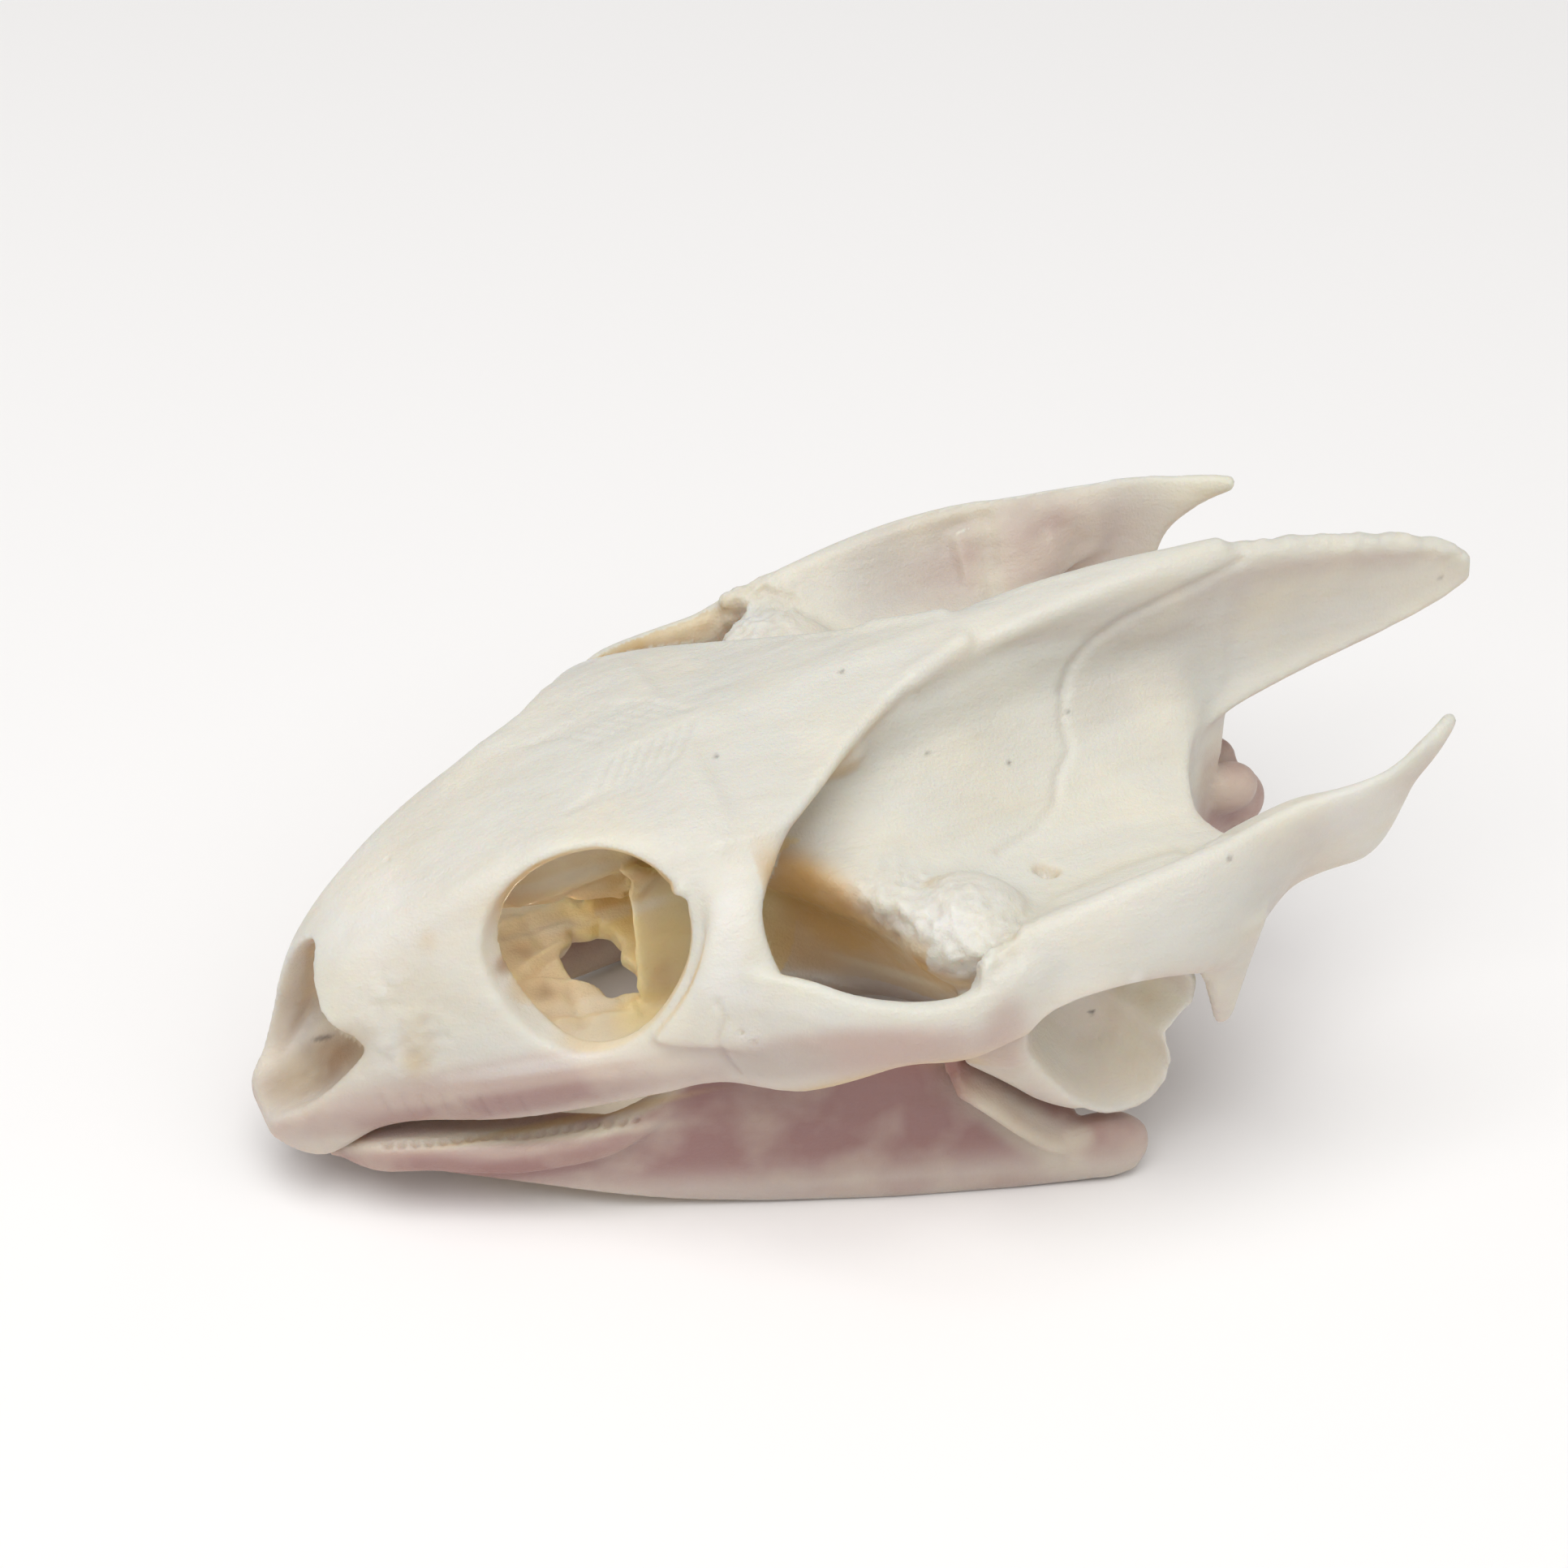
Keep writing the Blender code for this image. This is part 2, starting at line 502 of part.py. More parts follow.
def eye_socket(side=1):
    """The opening of the eye socket, a rounded prism across the cheek."""
    rim = [(33.2, 12.2, 41.6), (37.8, 15.4, 40.4), (40.2, 19.6, 37.2), (38.6, 22.8, 32), (34, 22, 25),
           (28, 19.8, 22.2), (22.8, 16.6, 25), (19.6, 13.2, 31.6), (21.8, 11.2, 37), (27, 10.6, 40)]
    outward = Vector((0.28, 0.86, 0.42)).normalized() * UNIT
    rings = []
    for reach, grow, lean in ORBIT_STEPS:
        edge = [at(*p) for p in rim]
        middle = sum(edge, Vector()) / len(edge)
        push = outward * reach - Vector((lean * UNIT, 0, 0))
        ring = [middle + (p - middle) * grow + push for p in spline(edge, 32, closed=True)]
        rings.append([Vector((p.x, p.y * side, p.z)) for p in ring])
    return loft("eye_socket", rings)


def nostril():
    """The opening of the nose, which slants up and back, and is broken further back on the left."""
    rim = [(7.1, 0, 28.4), (6.3, 2.4, 26.4), (5.7, 4.2, 24.6), (7.6, 6, 22.8), (11.8, 8.4, 21.6), (10.8, 8.2, 19.2),
           (7.4, 6.6, 14.8), (4.4, 3.8, 11.6), (3.2, 0, 10.8), (3, -3.4, 11), (3.2, -5.4, 13), (4, -6, 16.4),
           (5, -5.4, 19.8), (6.1, -4.4, 22.6), (7, -2.4, 26)]
    forward = Vector((0.98, 0, -0.15)).normalized() * UNIT
    rings = []
    for reach, grow in ((-5, 0.92), (-2, 0.97), (1, 1.02), (8, 1.4)):
        edge = [at(*p) for p in rim]
        middle = sum(edge, Vector()) / len(edge)
        rings.append([middle + (p - middle) * grow + forward * reach for p in spline(edge, 32, closed=True)])
    return loft("nostril", rings)


def prism(name, outline, inner, outer, grow=0.0):
    """A block whose side outline is given as (back, up), from inner to outer distance out.

    inner and outer are each (at the front, per unit further back).
    """
    middle = sum((Vector(p) for p in outline), Vector((0, 0))) / len(outline)
    spread = grow / UNIT
    rings = []
    for (start, slope), push in ((inner, -spread), (outer, spread)):
        ring = []
        for back, up in outline:
            place = Vector((back, up)) - middle
            place = middle + place * (1 + spread / max(abs(place.x), abs(place.y)))
            ring.append(at(place.x, start + slope * back + push, place.y))
        rings.append(ring)
    return loft(name, rings)


def copy_of(thing, name):
    return linked(name, thing.data.copy())


def largest(thing):
    """Drops every loose piece but the one with the most faces."""
    mesh = bmesh.new()
    mesh.from_mesh(thing.data)
    seen, groups = set(), []
    for face in mesh.faces:
        if face in seen:
            continue
        group, edge = [], [face]
        seen.add(face)
        while edge:
            here = edge.pop()
            group.append(here)
            for e in here.edges:
                for f in e.link_faces:
                    if f not in seen:
                        seen.add(f)
                        edge.append(f)
        groups.append(group)
    groups.sort(key=len)
    for group in groups[:-1]:
        bmesh.ops.delete(mesh, geom=group, context="FACES")
    mesh.to_mesh(thing.data)
    mesh.free()
    return thing


def combined(thing, other, operation):
    join = thing.modifiers.new("Join", "BOOLEAN")
    join.operation = operation
    join.solver = "MANIFOLD"
    join.object = other
    applied(thing)
    bpy.data.objects.remove(other)
    return thing


def taken(body, name, *shape):
    """Parts a bone from the body along the faces of a block, leaving a thin gap."""
    bone = combined(copy_of(body, name), prism("block", *shape), "INTERSECT")
    combined(body, prism("block", *shape, grow=CUT), "DIFFERENCE")
    return largest(bone)


def thinned(body, triangles):
    """Fewer triangles, with the same form."""
    body.data.calc_loop_triangles()
    fewer = body.modifiers.new("Fewer", "DECIMATE")
    fewer.ratio = triangles / len(body.data.loop_triangles)
    fewer.use_collapse_triangulate = True
    return applied(body)


# Where the skull parts, as side outlines of (back, up) and how far out they reach.
CREST = ([(93, 31.5), (140, 31.5), (140, 60), (93, 60)], (-7, 0), (7, 0))
CONDYLE = ([(101, 10), (125, 10), (125, 31), (101, 31)], (-9, 0), (9, 0))
SQUAMOSAL = ([(68, 27.5), (83.5, 27.5), (84.5, 15), (100, 15), (130, 25), (130, 60), (68, 60)],
             (38.5, -0.14), (60, 0))
QUADRATE = ([(64, -5), (97, -5), (97, 27), (64, 27)], (17, 0), (60, 0))
CHEEK_BAR = ([(49.5, 5), (67.6, 5), (67.6, 60), (49.5, 60)], (24, 0), (60, 0))
BRAINCASE = ([(46, -20), (150, -20), (150, 90), (46, 90)], (-80, 0), (80, 0))
SNOUT = ([(-20, -20), (21, -20), (21, 90), (-20, 90)], (-80, 0), (80, 0))
UNDER_FLATS = ([(-20, -20), (150, -20), (150, 0.5), (-20, 0.5)], (-80, 0), (80, 0))
JOINT = ([(77.8, -20), (150, -20), (150, 90), (77.8, 90)], (10, 0), (60, 0))


def other_side(shape):
    outline, inner, outer = shape
    return outline, (-outer[0], -outer[1]), (-inner[0], -inner[1])


def cranium():
    """The whole skull above the lower jaw."""
    head = fused("head", [face()], 2)
    openings = [face_hollow(), nostril(), inner_nostril(), *both_sides(eye_socket), *both_sides(chewing_gap)]
    head = carved(head, openings)
    block = carved(fused("ear_block", [ear_block(), *both_sides(trochlear_lump)], 10), both_sides(rear_bay))
    pieces = [head, block, crest(), *condyle()]
    for paired in (brow, squamosal, spur, cheek_bar, eye_bar, inner_wall, ear_web, quadrate, ear_front,
                   ear_stalk):
        pieces += both_sides(paired)
    head = carved(fused("cranium", pieces, 3), both_sides(ear_cup))
    return fused("cranium", [head], 4)


def lower_jaw():
    pieces = [jaw_front()]
    for paired in (jaw_side, jaw_rail, jaw_shelf, jaw_joint):
        pieces += both_sides(paired)
    return fused("lower_jaw", pieces, 3)


def settled(bones):
    """Centres the skull over the origin, standing on the floor."""
    corners = [v.co for bone in bones for v in bone.data.vertices]
    low = [min(p[k] for p in corners) for k in range(3)]
    high = [max(p[k] for p in corners) for k in range(3)]
    shift = Vector((-(low[0] + high[0]) / 2, -(low[1] + high[1]) / 2, -low[2]))
    for bone in bones:
        bone.data.transform(Matrix.Translation(shift))
    return shift


def main():
    for thing in list(bpy.data.objects):
        bpy.data.objects.remove(thing)
    for old in list(bpy.data.collections):
        bpy.data.collections.remove(old)
    head = thinned(largest(cranium()), 9500)
    jaw = thinned(largest(lower_jaw()), 2400)
    combined(jaw, prism("floor", *UNDER_FLATS), "DIFFERENCE")
    bones = [
        taken(head, "supraoccipital_crest", *CREST),
        taken(head, "occipital_condyle", *CONDYLE),
        taken(head, "squamosal_left", *SQUAMOSAL),
        taken(head, "squamosal_right", *other_side(SQUAMOSAL)),
        taken(head, "quadrate_left", *QUADRATE),
        taken(head, "quadrate_right", *other_side(QUADRATE)),
        taken(head, "cheek_bar_left", *CHEEK_BAR),
        taken(head, "cheek_bar_right", *other_side(CHEEK_BAR)),
        taken(head, "braincase", *BRAINCASE),
        taken(head, "snout", *SNOUT),
        taken(jaw, "jaw_joint_left", *JOINT),
        taken(jaw, "jaw_joint_right", *other_side(JOINT)),
    ]
    head.name = "eye_region"
    bones += [largest(head), largest(jaw)]
    settled(bones)
    skull = bpy.data.collections.new("turtle_skull")
    bpy.context.scene.collection.children.link(skull)
    for bone, tone in zip(bones, ["ivory", "cream", "chalk", "chalk", "cream", "cream", "ivory", "ivory", "chalk",
                                  "ivory", "cream", "cream", "ivory", "jaw"]):
        paint = bpy.data.materials.new(bone.name)
        paint.use_nodes = True
        paint.node_tree.nodes["Principled BSDF"].inputs["Base Color"].default_value = (*BONE[tone], 1)
        paint.node_tree.nodes["Principled BSDF"].inputs["Roughness"].default_value = 0.5
        bone.data.materials.append(paint)
        bpy.context.scene.collection.objects.unlink(bone)
        skull.objects.link(bone)


if __name__ == "__main__":
    main()
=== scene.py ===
"""How the softshell turtle's skull looks: its bones in a fine skin, the floor, the light and the camera.

Places are given as (back, out, up) in skull units, as in the frame: back runs from the tip
of the snout, out from the midline and up from the floor. Marks on the bone, and the painted
shade, painted pink reflection and painted light laid with them, are named by where the
photograph shows them, and are laid on the surface from the camera.
"""

import math

import bmesh
import bpy
import numpy as np
from mathutils import Matrix, Vector, noise
from mathutils.bvhtree import BVHTree


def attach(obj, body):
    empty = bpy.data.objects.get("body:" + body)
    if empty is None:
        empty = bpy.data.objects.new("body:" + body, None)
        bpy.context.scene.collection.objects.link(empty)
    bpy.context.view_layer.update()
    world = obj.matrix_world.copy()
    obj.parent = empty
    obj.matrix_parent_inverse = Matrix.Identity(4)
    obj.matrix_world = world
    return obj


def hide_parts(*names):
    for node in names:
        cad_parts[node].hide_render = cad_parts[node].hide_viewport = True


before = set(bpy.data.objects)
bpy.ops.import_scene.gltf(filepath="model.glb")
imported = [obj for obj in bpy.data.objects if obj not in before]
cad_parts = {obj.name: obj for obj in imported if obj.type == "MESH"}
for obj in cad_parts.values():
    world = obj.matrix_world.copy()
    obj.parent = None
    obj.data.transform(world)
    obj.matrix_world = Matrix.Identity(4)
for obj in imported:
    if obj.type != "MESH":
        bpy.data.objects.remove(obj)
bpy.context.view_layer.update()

UNIT = 0.0008              # metres in one skull unit
SKULL_MIDDLE = 67.6        # units from the snout to the middle of the whole length
VOXEL = 0.36 * UNIT
SOFTER = 2   # how much more smoothing the finer skin takes
RING = 56                  # points round a lofted section
BLADE_RING = 24            # points round a thin plate
BLADE_STEPS = 4            # rings from one station of a plate to the next
BLADE_EDGE = 0.7           # how square a plate's section is, where 1 is an ellipse


def at(back, out, up):
    """A place in skull units as a point in metres, snout towards +X, left side at +Y."""
    return Vector((SKULL_MIDDLE - back, out, up)) * UNIT


def through(knots):
    """A smooth curve through a few (place: value) knots, which never overshoots them."""
    places = np.array(sorted(knots), float)
    values = np.array([knots[p] for p in sorted(knots)], float)
    steps = np.diff(places)
    slopes = np.diff(values) / steps
    tangents = np.zeros(len(places))
    tangents[0], tangents[-1] = slopes[0], slopes[-1]
    for i in range(1, len(places) - 1):
        if slopes[i - 1] * slopes[i] > 0:
            before, after = 2 * steps[i] + steps[i - 1], steps[i] + 2 * steps[i - 1]
            tangents[i] = (before + after) / (before / slopes[i - 1] + after / slopes[i])

    def value(place):
        place = min(max(place, places[0]), places[-1])
        i = min(int(np.searchsorted(places, place, side="right")) - 1, len(steps) - 1)
        t = (place - places[i]) / steps[i]
        rest = 1 - t
        return float(
            values[i] * (1 + 2 * t) * rest * rest
            + tangents[i] * steps[i] * t * rest * rest
            + values[i + 1] * t * t * (3 - 2 * t)
            - tangents[i + 1] * steps[i] * t * t * rest
        )

    return value


def spline(points, count, closed=False):
    """count points spread along a Catmull-Rom curve through the given ones."""
    knots = [Vector(p) for p in points]
    spans = len(knots) if closed else len(knots) - 1
    found = []
    for i in range(count):
        place = i * spans / (count if closed else count - 1)
        k = min(int(place), spans - 1)
        t = place - k
        if closed:
            a, b, c, d = (knots[(k + j) % len(knots)] for j in (-1, 0, 1, 2))
        else:
            a, b, c, d = (knots[min(max(k + j, 0), spans)] for j in (-1, 0, 1, 2))
        found.append(
            b
            + (c - a) * (t / 2)
            + (a * 2 - b * 5 + c * 4 - d) * (t * t / 2)
            + (b * 3 - a - c * 3 + d) * (t * t * t / 2)
        )
    return found


def loft(name, rings):
    """A closed mesh through rings of equally many points, with a cap on each end ring."""
    mesh = bmesh.new()
    rows = [[mesh.verts.new(p) for p in ring] for ring in rings]
    count = len(rows[0])
    for first, second in zip(rows, rows[1:]):
        for i in range(count):
            j = (i + 1) % count
            mesh.faces.new((first[i], first[j], second[j], second[i]))
    mesh.faces.new(rows[0][::-1])
    mesh.faces.new(rows[-1])
    if mesh.calc_volume(signed=True) < 0:
        bmesh.ops.reverse_faces(mesh, faces=mesh.faces)
    data = bpy.data.meshes.new(name)
    mesh.to_mesh(data)
    mesh.free()
    return linked(name, data)


def linked(name, data):
    made = bpy.data.objects.new(name, data)
    bpy.context.scene.collection.objects.link(made)
    return made


def mirrored_ring(back, half):
    """A full section from its left half, which runs from the top midline to the bottom one."""
    smooth = spline([(0, out, up) for out, up in half], RING // 2 + 1)
    left = [at(back, max(p.y, 0), p.z) for p in smooth]
    right = [Vector((p.x, -p.y, p.z)) for p in reversed(left[1:-1])]
    return left + right


def blade(name, stations, side=1):
    """A thin plate or bar along stations of (one edge, other edge, thickness)."""
    edges = [[at(*s[k]) for s in stations] for k in (0, 1)]
    count = (len(stations) - 1) * BLADE_STEPS + 1
    one, other = (spline(e, count) for e in edges)
    thick = [p.x for p in spline([(s[2] * UNIT, 0, 0) for s in stations], count)]
    middles = [(p + q) / 2 for p, q in zip(one, other)]
    rings = []
    for i, (p, q) in enumerate(zip(one, other)):
        along = middles[min(i + 1, count - 1)] - middles[max(i - 1, 0)]
        half = (p - q) / 2
        across = half.cross(along).normalized() * thick[i] / 2
        ring = []
        for k in range(BLADE_RING):
            angle = 2 * math.pi * k / BLADE_RING
            flat = math.sin(angle)
            ring.append(
                middles[i]
                + half * math.cos(angle)
                + across * math.copysign(abs(flat) ** BLADE_EDGE, flat)
            )
        rings.append([Vector((v.x, v.y * side, v.z)) for v in ring])
    return loft(name, rings)


def bulb(name, centre, radii, side=1):
    """An ellipsoid with its radii along back, out and up."""
    bpy.ops.mesh.primitive_uv_sphere_add(segments=32, ring_count=20)
    made = bpy.context.object
    made.name = name
    made.scale = [r * UNIT for r in radii]
    made.location = at(centre[0], centre[1] * side, centre[2])
    return made


def both_sides(make):
    return [make(side=1), make(side=-1)]


def evaluated_mesh(thing):
    bpy.context.view_layer.update()
    graph = bpy.context.evaluated_depsgraph_get()
    data = bpy.data.meshes.new_from_object(thing.evaluated_get(graph))
    data.transform(thing.matrix_world)
    return data


def joined(name, things):
    """One object that holds all of these, which are removed."""
    mesh = bmesh.new()
    for thing in things:
        data = evaluated_mesh(thing)
        mesh.from_mesh(data)
        bpy.data.meshes.remove(data)
        bpy.data.objects.remove(thing)
    data = bpy.data.meshes.new(name)
    mesh.to_mesh(data)
    mesh.free()
    return linked(name, data)


def applied(thing):
    """Makes an object's evaluated mesh its own, and drops its modifiers."""
    data = evaluated_mesh(thing)
    thing.modifiers.clear()
    thing.data = data
    thing.matrix_world.identity()
    return thing


def fused(name, things, soften):
    """One skin over all these overlapping pieces, softened where they meet."""
    body = joined(name, things)
    skin = body.modifiers.new("Skin", "REMESH")
    skin.mode = "VOXEL"
    skin.voxel_size = VOXEL
    blend = body.modifiers.new("Soften", "SMOOTH")
    blend.factor = 0.5
    blend.iterations = round(soften * SOFTER)
    return applied(body)


def carved(body, cutters):
    """Takes the cutters out of a body. They are removed."""
    for cutter in cutters:
        cut = body.modifiers.new("Cut", "BOOLEAN")
        cut.operation = "DIFFERENCE"
        cut.solver = "MANIFOLD"
        cut.object = cutter
        applied(body)
        bpy.data.objects.remove(cutter)
    return body


# Lines that the face and roof are drawn from, each against the distance back.
ROOF_UP = through({2: 11, 4: 17, 7.4: 27.6, 10: 30, 14.7: 34, 20: 37, 26: 39.6, 30: 41, 38: 43.3, 45: 45.2,
                   55: 46.8, 60: 47.8, 70: 49.4, 80: 50.6, 95: 52})
RIM_OUT = through({2: 2.5, 7.4: 4.6, 14.7: 7.2, 20: 8.6, 26: 9.8, 30: 11, 34: 13, 38: 15.4, 45: 17,
                   50: 16.4, 55: 13.5, 60: 9.5, 65: 6.5, 70: 4.2, 75: 2.5, 82: 1.4, 95: 1.2})
RIM_UP = through({2: 10, 7.4: 25.2, 14.7: 32, 20: 35.4, 26: 38.4, 30: 40.2, 38: 41.6, 50: 42.8,
                  55: 43.6, 60: 45.5, 65: 46.8, 70: 48.2, 80: 50, 95: 51.4})
CHEEK_OUT = through({2: 3.6, 7.4: 8.2, 12: 10.8, 20: 15, 30: 20.2, 40: 25.6, 50: 31, 56: 34})
CHEEK_UP = through({2: 8.5, 7.4: 13, 12: 16.5, 20: 18.5, 30: 20.5, 40: 24.5, 50: 28.5, 56: 29.5})
JAW_OUT = through({2: 3, 7.4: 7, 12: 9.6, 22: 15, 36: 22, 41: 24.6, 47: 28.6, 56: 33})
JAW_UP = through({2: 8, 4.2: 6.6, 6: 6.4, 9: 8.4, 11: 10.4, 15: 12.2, 22: 13.2, 36: 17.6, 41: 19.6, 47: 20.6,
                  52: 22.5, 56: 25})
PALATE_UP = through({2: 8, 12: 13, 30: 16.5, 60: 16})
NOSE_WALL = through({5: 1.9, 12: 2.4, 20: 5.4, 26: 4.8, 32: 2.8, 37: 1.9, 60: 1.9})
KEEL_UP = through({8: 26, 14: 31, 20: 33, 26: 28.4, 40: 27.6, 60: 27})

# Lines of the braincase and the ear block behind it.
WALL_OUT = through({38: 3, 44: 6.5, 50: 8, 60: 8.6, 70: 8, 80: 5.4, 90: 3.6, 103: 1.8})
WALL_UP = through({38: 35, 60: 39.5, 70: 40.5, 80: 41, 103: 42})
EAR_EDGE_OUT = through({38: 3, 44: 7, 50: 10.5, 53: 13, 56: 17.5, 59.4: 22.4, 62: 27, 65.5: 31.6, 69: 33.2,
                        75: 32.5, 90: 33, 98: 31, 103: 9, 106: 5})
EAR_EDGE_UP = through({38: 33, 53: 33.6, 59.4: 34.6, 65.5: 34.6, 70: 36.6, 80: 39, 90: 41, 98: 41.4, 106: 35})
EAR_DIP_UP = through({38: 34, 53: 35.4, 60: 35.6, 66: 34, 78: 32.6, 90: 33.4, 98: 33, 106: 35.5})
EAR_UNDER = through({38: 29, 46: 27, 53: 28, 60: 27, 66: 22, 80: 18, 98: 24, 106: 33})
FLOOR_OUT = through({38: 2.5, 44: 6, 48: 10.5, 56: 12, 62: 14, 70: 20, 80: 20, 90: 13, 103: 7})
FLOOR_UP = through({38: 27.5, 44: 25.5, 47: 21, 50: 15.5, 60: 15, 100: 15, 106: 30})

# Lines of the crest over the neck: its ridge, its hollow sides and its spread lower edge.
CREST_TOP_UP = through({74: 49, 86: 51.5, 97: 52.4, 107: 52.4, 116: 51.4, 124: 49.8, 131: 47.4, 134.4: 45})
CREST_LOW_UP = through({74: 36, 90: 33, 100: 32.6, 107: 34, 115.4: 36, 124: 38.2, 131: 40.4, 134.4: 42.2})
CREST_TOP_OUT = through({74: 2.8, 97: 2.1, 107: 1.7, 124: 1.4, 134.4: 0.9})
CREST_SIDE_OUT = through({74: 2.6, 90: 2.4, 98: 2, 106: 1.3, 114: 1, 134.4: 0.8})
CREST_LOW_OUT = through({90: 9, 98: 7.4, 102: 5.4, 107: 3.8, 116: 2.5, 124: 1.9, 134.4: 0.9})

# The eye socket's slope, as (how far out, size against the rim, how far back).
ORBIT_STEPS = ((-8, 0.74, 3), (-4, 0.84, 1.8), (-1, 0.94, 0.7), (0.6, 1.01, 0), (3, 1.07, 0), (9, 1.2, 0))

# The top edge of the lower jaw, as (back, out, up).
JAW_EDGE = [(11.3, 7.6, 9.2), (16, 10, 9.7), (20.6, 12, 9.6), (25.3, 14, 9.9), (32.6, 17.3, 12.6),
            (38.4, 19.4, 16.6)]

# The rim of the ear's cup, as (back, out, up).
EAR_RIM = [(69, 33.6, 25.6), (70, 32.8, 20.5), (73.8, 31.6, 14.8), (78.1, 30.8, 10), (82.2, 30.6, 8.4),
           (86.1, 30.8, 9.9), (87.2, 31.4, 14.4), (86, 32, 18.8), (88.6, 32.6, 22.8), (87, 33.4, 28),
           (79, 34.4, 30), (71.5, 34.4, 29)]


def face():
    """The snout, the roof over the eyes and the cheeks, as one solid form."""
    rings = []
    for back in np.linspace(2, 46.5, 40):
        roof, rim = ROOF_UP(back), (RIM_OUT(back), RIM_UP(back))
        cheek, jaw = (CHEEK_OUT(back), CHEEK_UP(back)), (JAW_OUT(back), JAW_UP(back))
        side = ((rim[0] + cheek[0]) / 2 + 0.8, (rim[1] + cheek[1]) / 2 + 1.2)
        half = [(0, roof), (rim[0] * 0.55, roof * 0.7 + rim[1] * 0.3), rim, side, cheek, jaw,
                (jaw[0] - 2.2, jaw[1] + 0.4), (jaw[0] * 0.55, PALATE_UP(back) - 1), (0, PALATE_UP(back))]
        rings.append(mirrored_ring(back, half))
    return loft("face", rings)


def face_hollow():
    """The room inside the face: nose, eye sockets and the passage behind them."""
    floor, side, top = 1.8, 1.9, 2.3
    rings = []
    for back in np.linspace(5, 60, 44):
        wall = NOSE_WALL(back)
        grow = max(0, (back - 44) * 0.1)
        rim = (max(RIM_OUT(min(back, 45)) - side, 1.5), RIM_UP(min(back, 45)) - side)
        cheek = (CHEEK_OUT(back) - wall - 0.6, CHEEK_UP(back) + grow)
        low = PALATE_UP(back) + floor
        ceiling = ROOF_UP(min(back, 45)) - top
        keel = min(KEEL_UP(back), ceiling)
        half = [(0, keel), (rim[0] * 0.24, keel + 0.3), (rim[0] * 0.42, (keel + ceiling) / 2),
                (rim[0] * 0.6, min(rim[1] + 0.2, ceiling)), rim,
                ((rim[0] + cheek[0]) / 2 + 0.4, (rim[1] + cheek[1]) / 2 + 0.6), cheek,
                (max(cheek[0] - 2.5, 1.5), low + 0.4), (cheek[0] * 0.4, low), (0, low)]
        rings.append(mirrored_ring(back, half))
    return loft("face_hollow", rings)


def inner_nostril():
    """The ragged opening through the palate, under the eye sockets."""
    rim = [(34.2, 0), (34.8, 3), (36, 4.4), (36.6, 6.3), (38.6, 5.6), (40.4, 6.6), (41, 2), (40, 0), (41, -2),
           (40.4, -6.6), (38.6, -5.6), (36.6, -6.3), (36, -4.4), (34.8, -3)]
    return loft("inner_nostril", [[at(b, o, up) for b, o in rim] for up in (8, 24)])


def chewing_gap(side=1):
    """The gap beside the palate that the back of the lower jaw rises into."""
    outline = [(37.5, 5), (62, 5), (62, 30), (47, 30), (40, 24), (37.5, 19)]
    gap = prism("gap", outline, (12.5, 0), (2.2, 0.5))
    if side < 0:
        gap.data.transform(Matrix.Diagonal((1, -1, 1, 1)))
        gap.data.flip_normals()
    return gap


def ear_block():
    """The braincase with the ear blocks spreading out from it."""
    rings = []
    for back in np.linspace(38, 105.6, 52):
        half = [(0, ROOF_UP(back)), (RIM_OUT(back) * 0.6, (ROOF_UP(back) + RIM_UP(back)) / 2),
                (RIM_OUT(back), RIM_UP(back)),
                ((RIM_OUT(back) + WALL_OUT(back)) / 2 if back > 62 else WALL_OUT(back) + 1,
                 (RIM_UP(back) + WALL_UP(back)) / 2),
                (WALL_OUT(back), WALL_UP(back)),
                (WALL_OUT(back) * 0.6 + EAR_EDGE_OUT(back) * 0.4, EAR_DIP_UP(back)),
                (WALL_OUT(back) * 0.18 + EAR_EDGE_OUT(back) * 0.82,
                 EAR_DIP_UP(back) * 0.72 + EAR_EDGE_UP(back) * 0.28),
                (EAR_EDGE_OUT(back), EAR_EDGE_UP(back)),
                (EAR_EDGE_OUT(back) - 1, (EAR_EDGE_UP(back) + EAR_UNDER(back)) / 2),
                (EAR_EDGE_OUT(back) * 0.7, EAR_UNDER(back)),
                (FLOOR_OUT(back), FLOOR_UP(back) + 2), (FLOOR_OUT(back) * 0.6, FLOOR_UP(back)),
                (0, FLOOR_UP(back))]
        rings.append(mirrored_ring(back, half))
    return loft("ear_block", rings)


def crest():
    """The long blade over the neck, hollow along its sides and spread at its foot."""
    rings = []
    for back in np.linspace(78, 134.4, 40):
        top, low = CREST_TOP_UP(back), CREST_LOW_UP(back)
        ridge, side, foot = CREST_TOP_OUT(back), CREST_SIDE_OUT(back), CREST_LOW_OUT(back)
        tall = top - low
        half = [(0, top), (ridge, top - 0.07 * tall), (side, top - 0.3 * tall), (side, top - 0.55 * tall),
                (side * 0.6 + foot * 0.4, top - 0.8 * tall), (foot, low + 0.07 * tall), (0, low)]
        rings.append(mirrored_ring(back, half))
    return loft("crest", rings)


def trochlear_lump(side=1):
    """The rough knob at the front of the ear block, where the jaw's tendon turns."""
    return bulb("trochlear_lump", (67, 25, 31.8), (6.6, 6.8, 4.8), side=side)


def brow(side=1):
    """The raised edge of the roof, from the eye bar up to the crest."""
    line = [(44, 16.6, 41.9), (50, 16.3, 41.9), (55, 13.3, 43.3), (60, 9.6, 45), (65, 6.5, 46.4),
            (70, 4.1, 47.9), (76, 2.2, 49.2)]
    return blade("brow", [((b, o, u + 0.9), (b, o, u - 0.9), 1.8) for b, o, u in line], side=side)


def rear_bay(side=1):
    """The bay behind the ear block, between the prong and the knob of the neck."""
    return bulb("rear_bay", (112, 17.5, 30), (16.3, 16, 30), side=side)


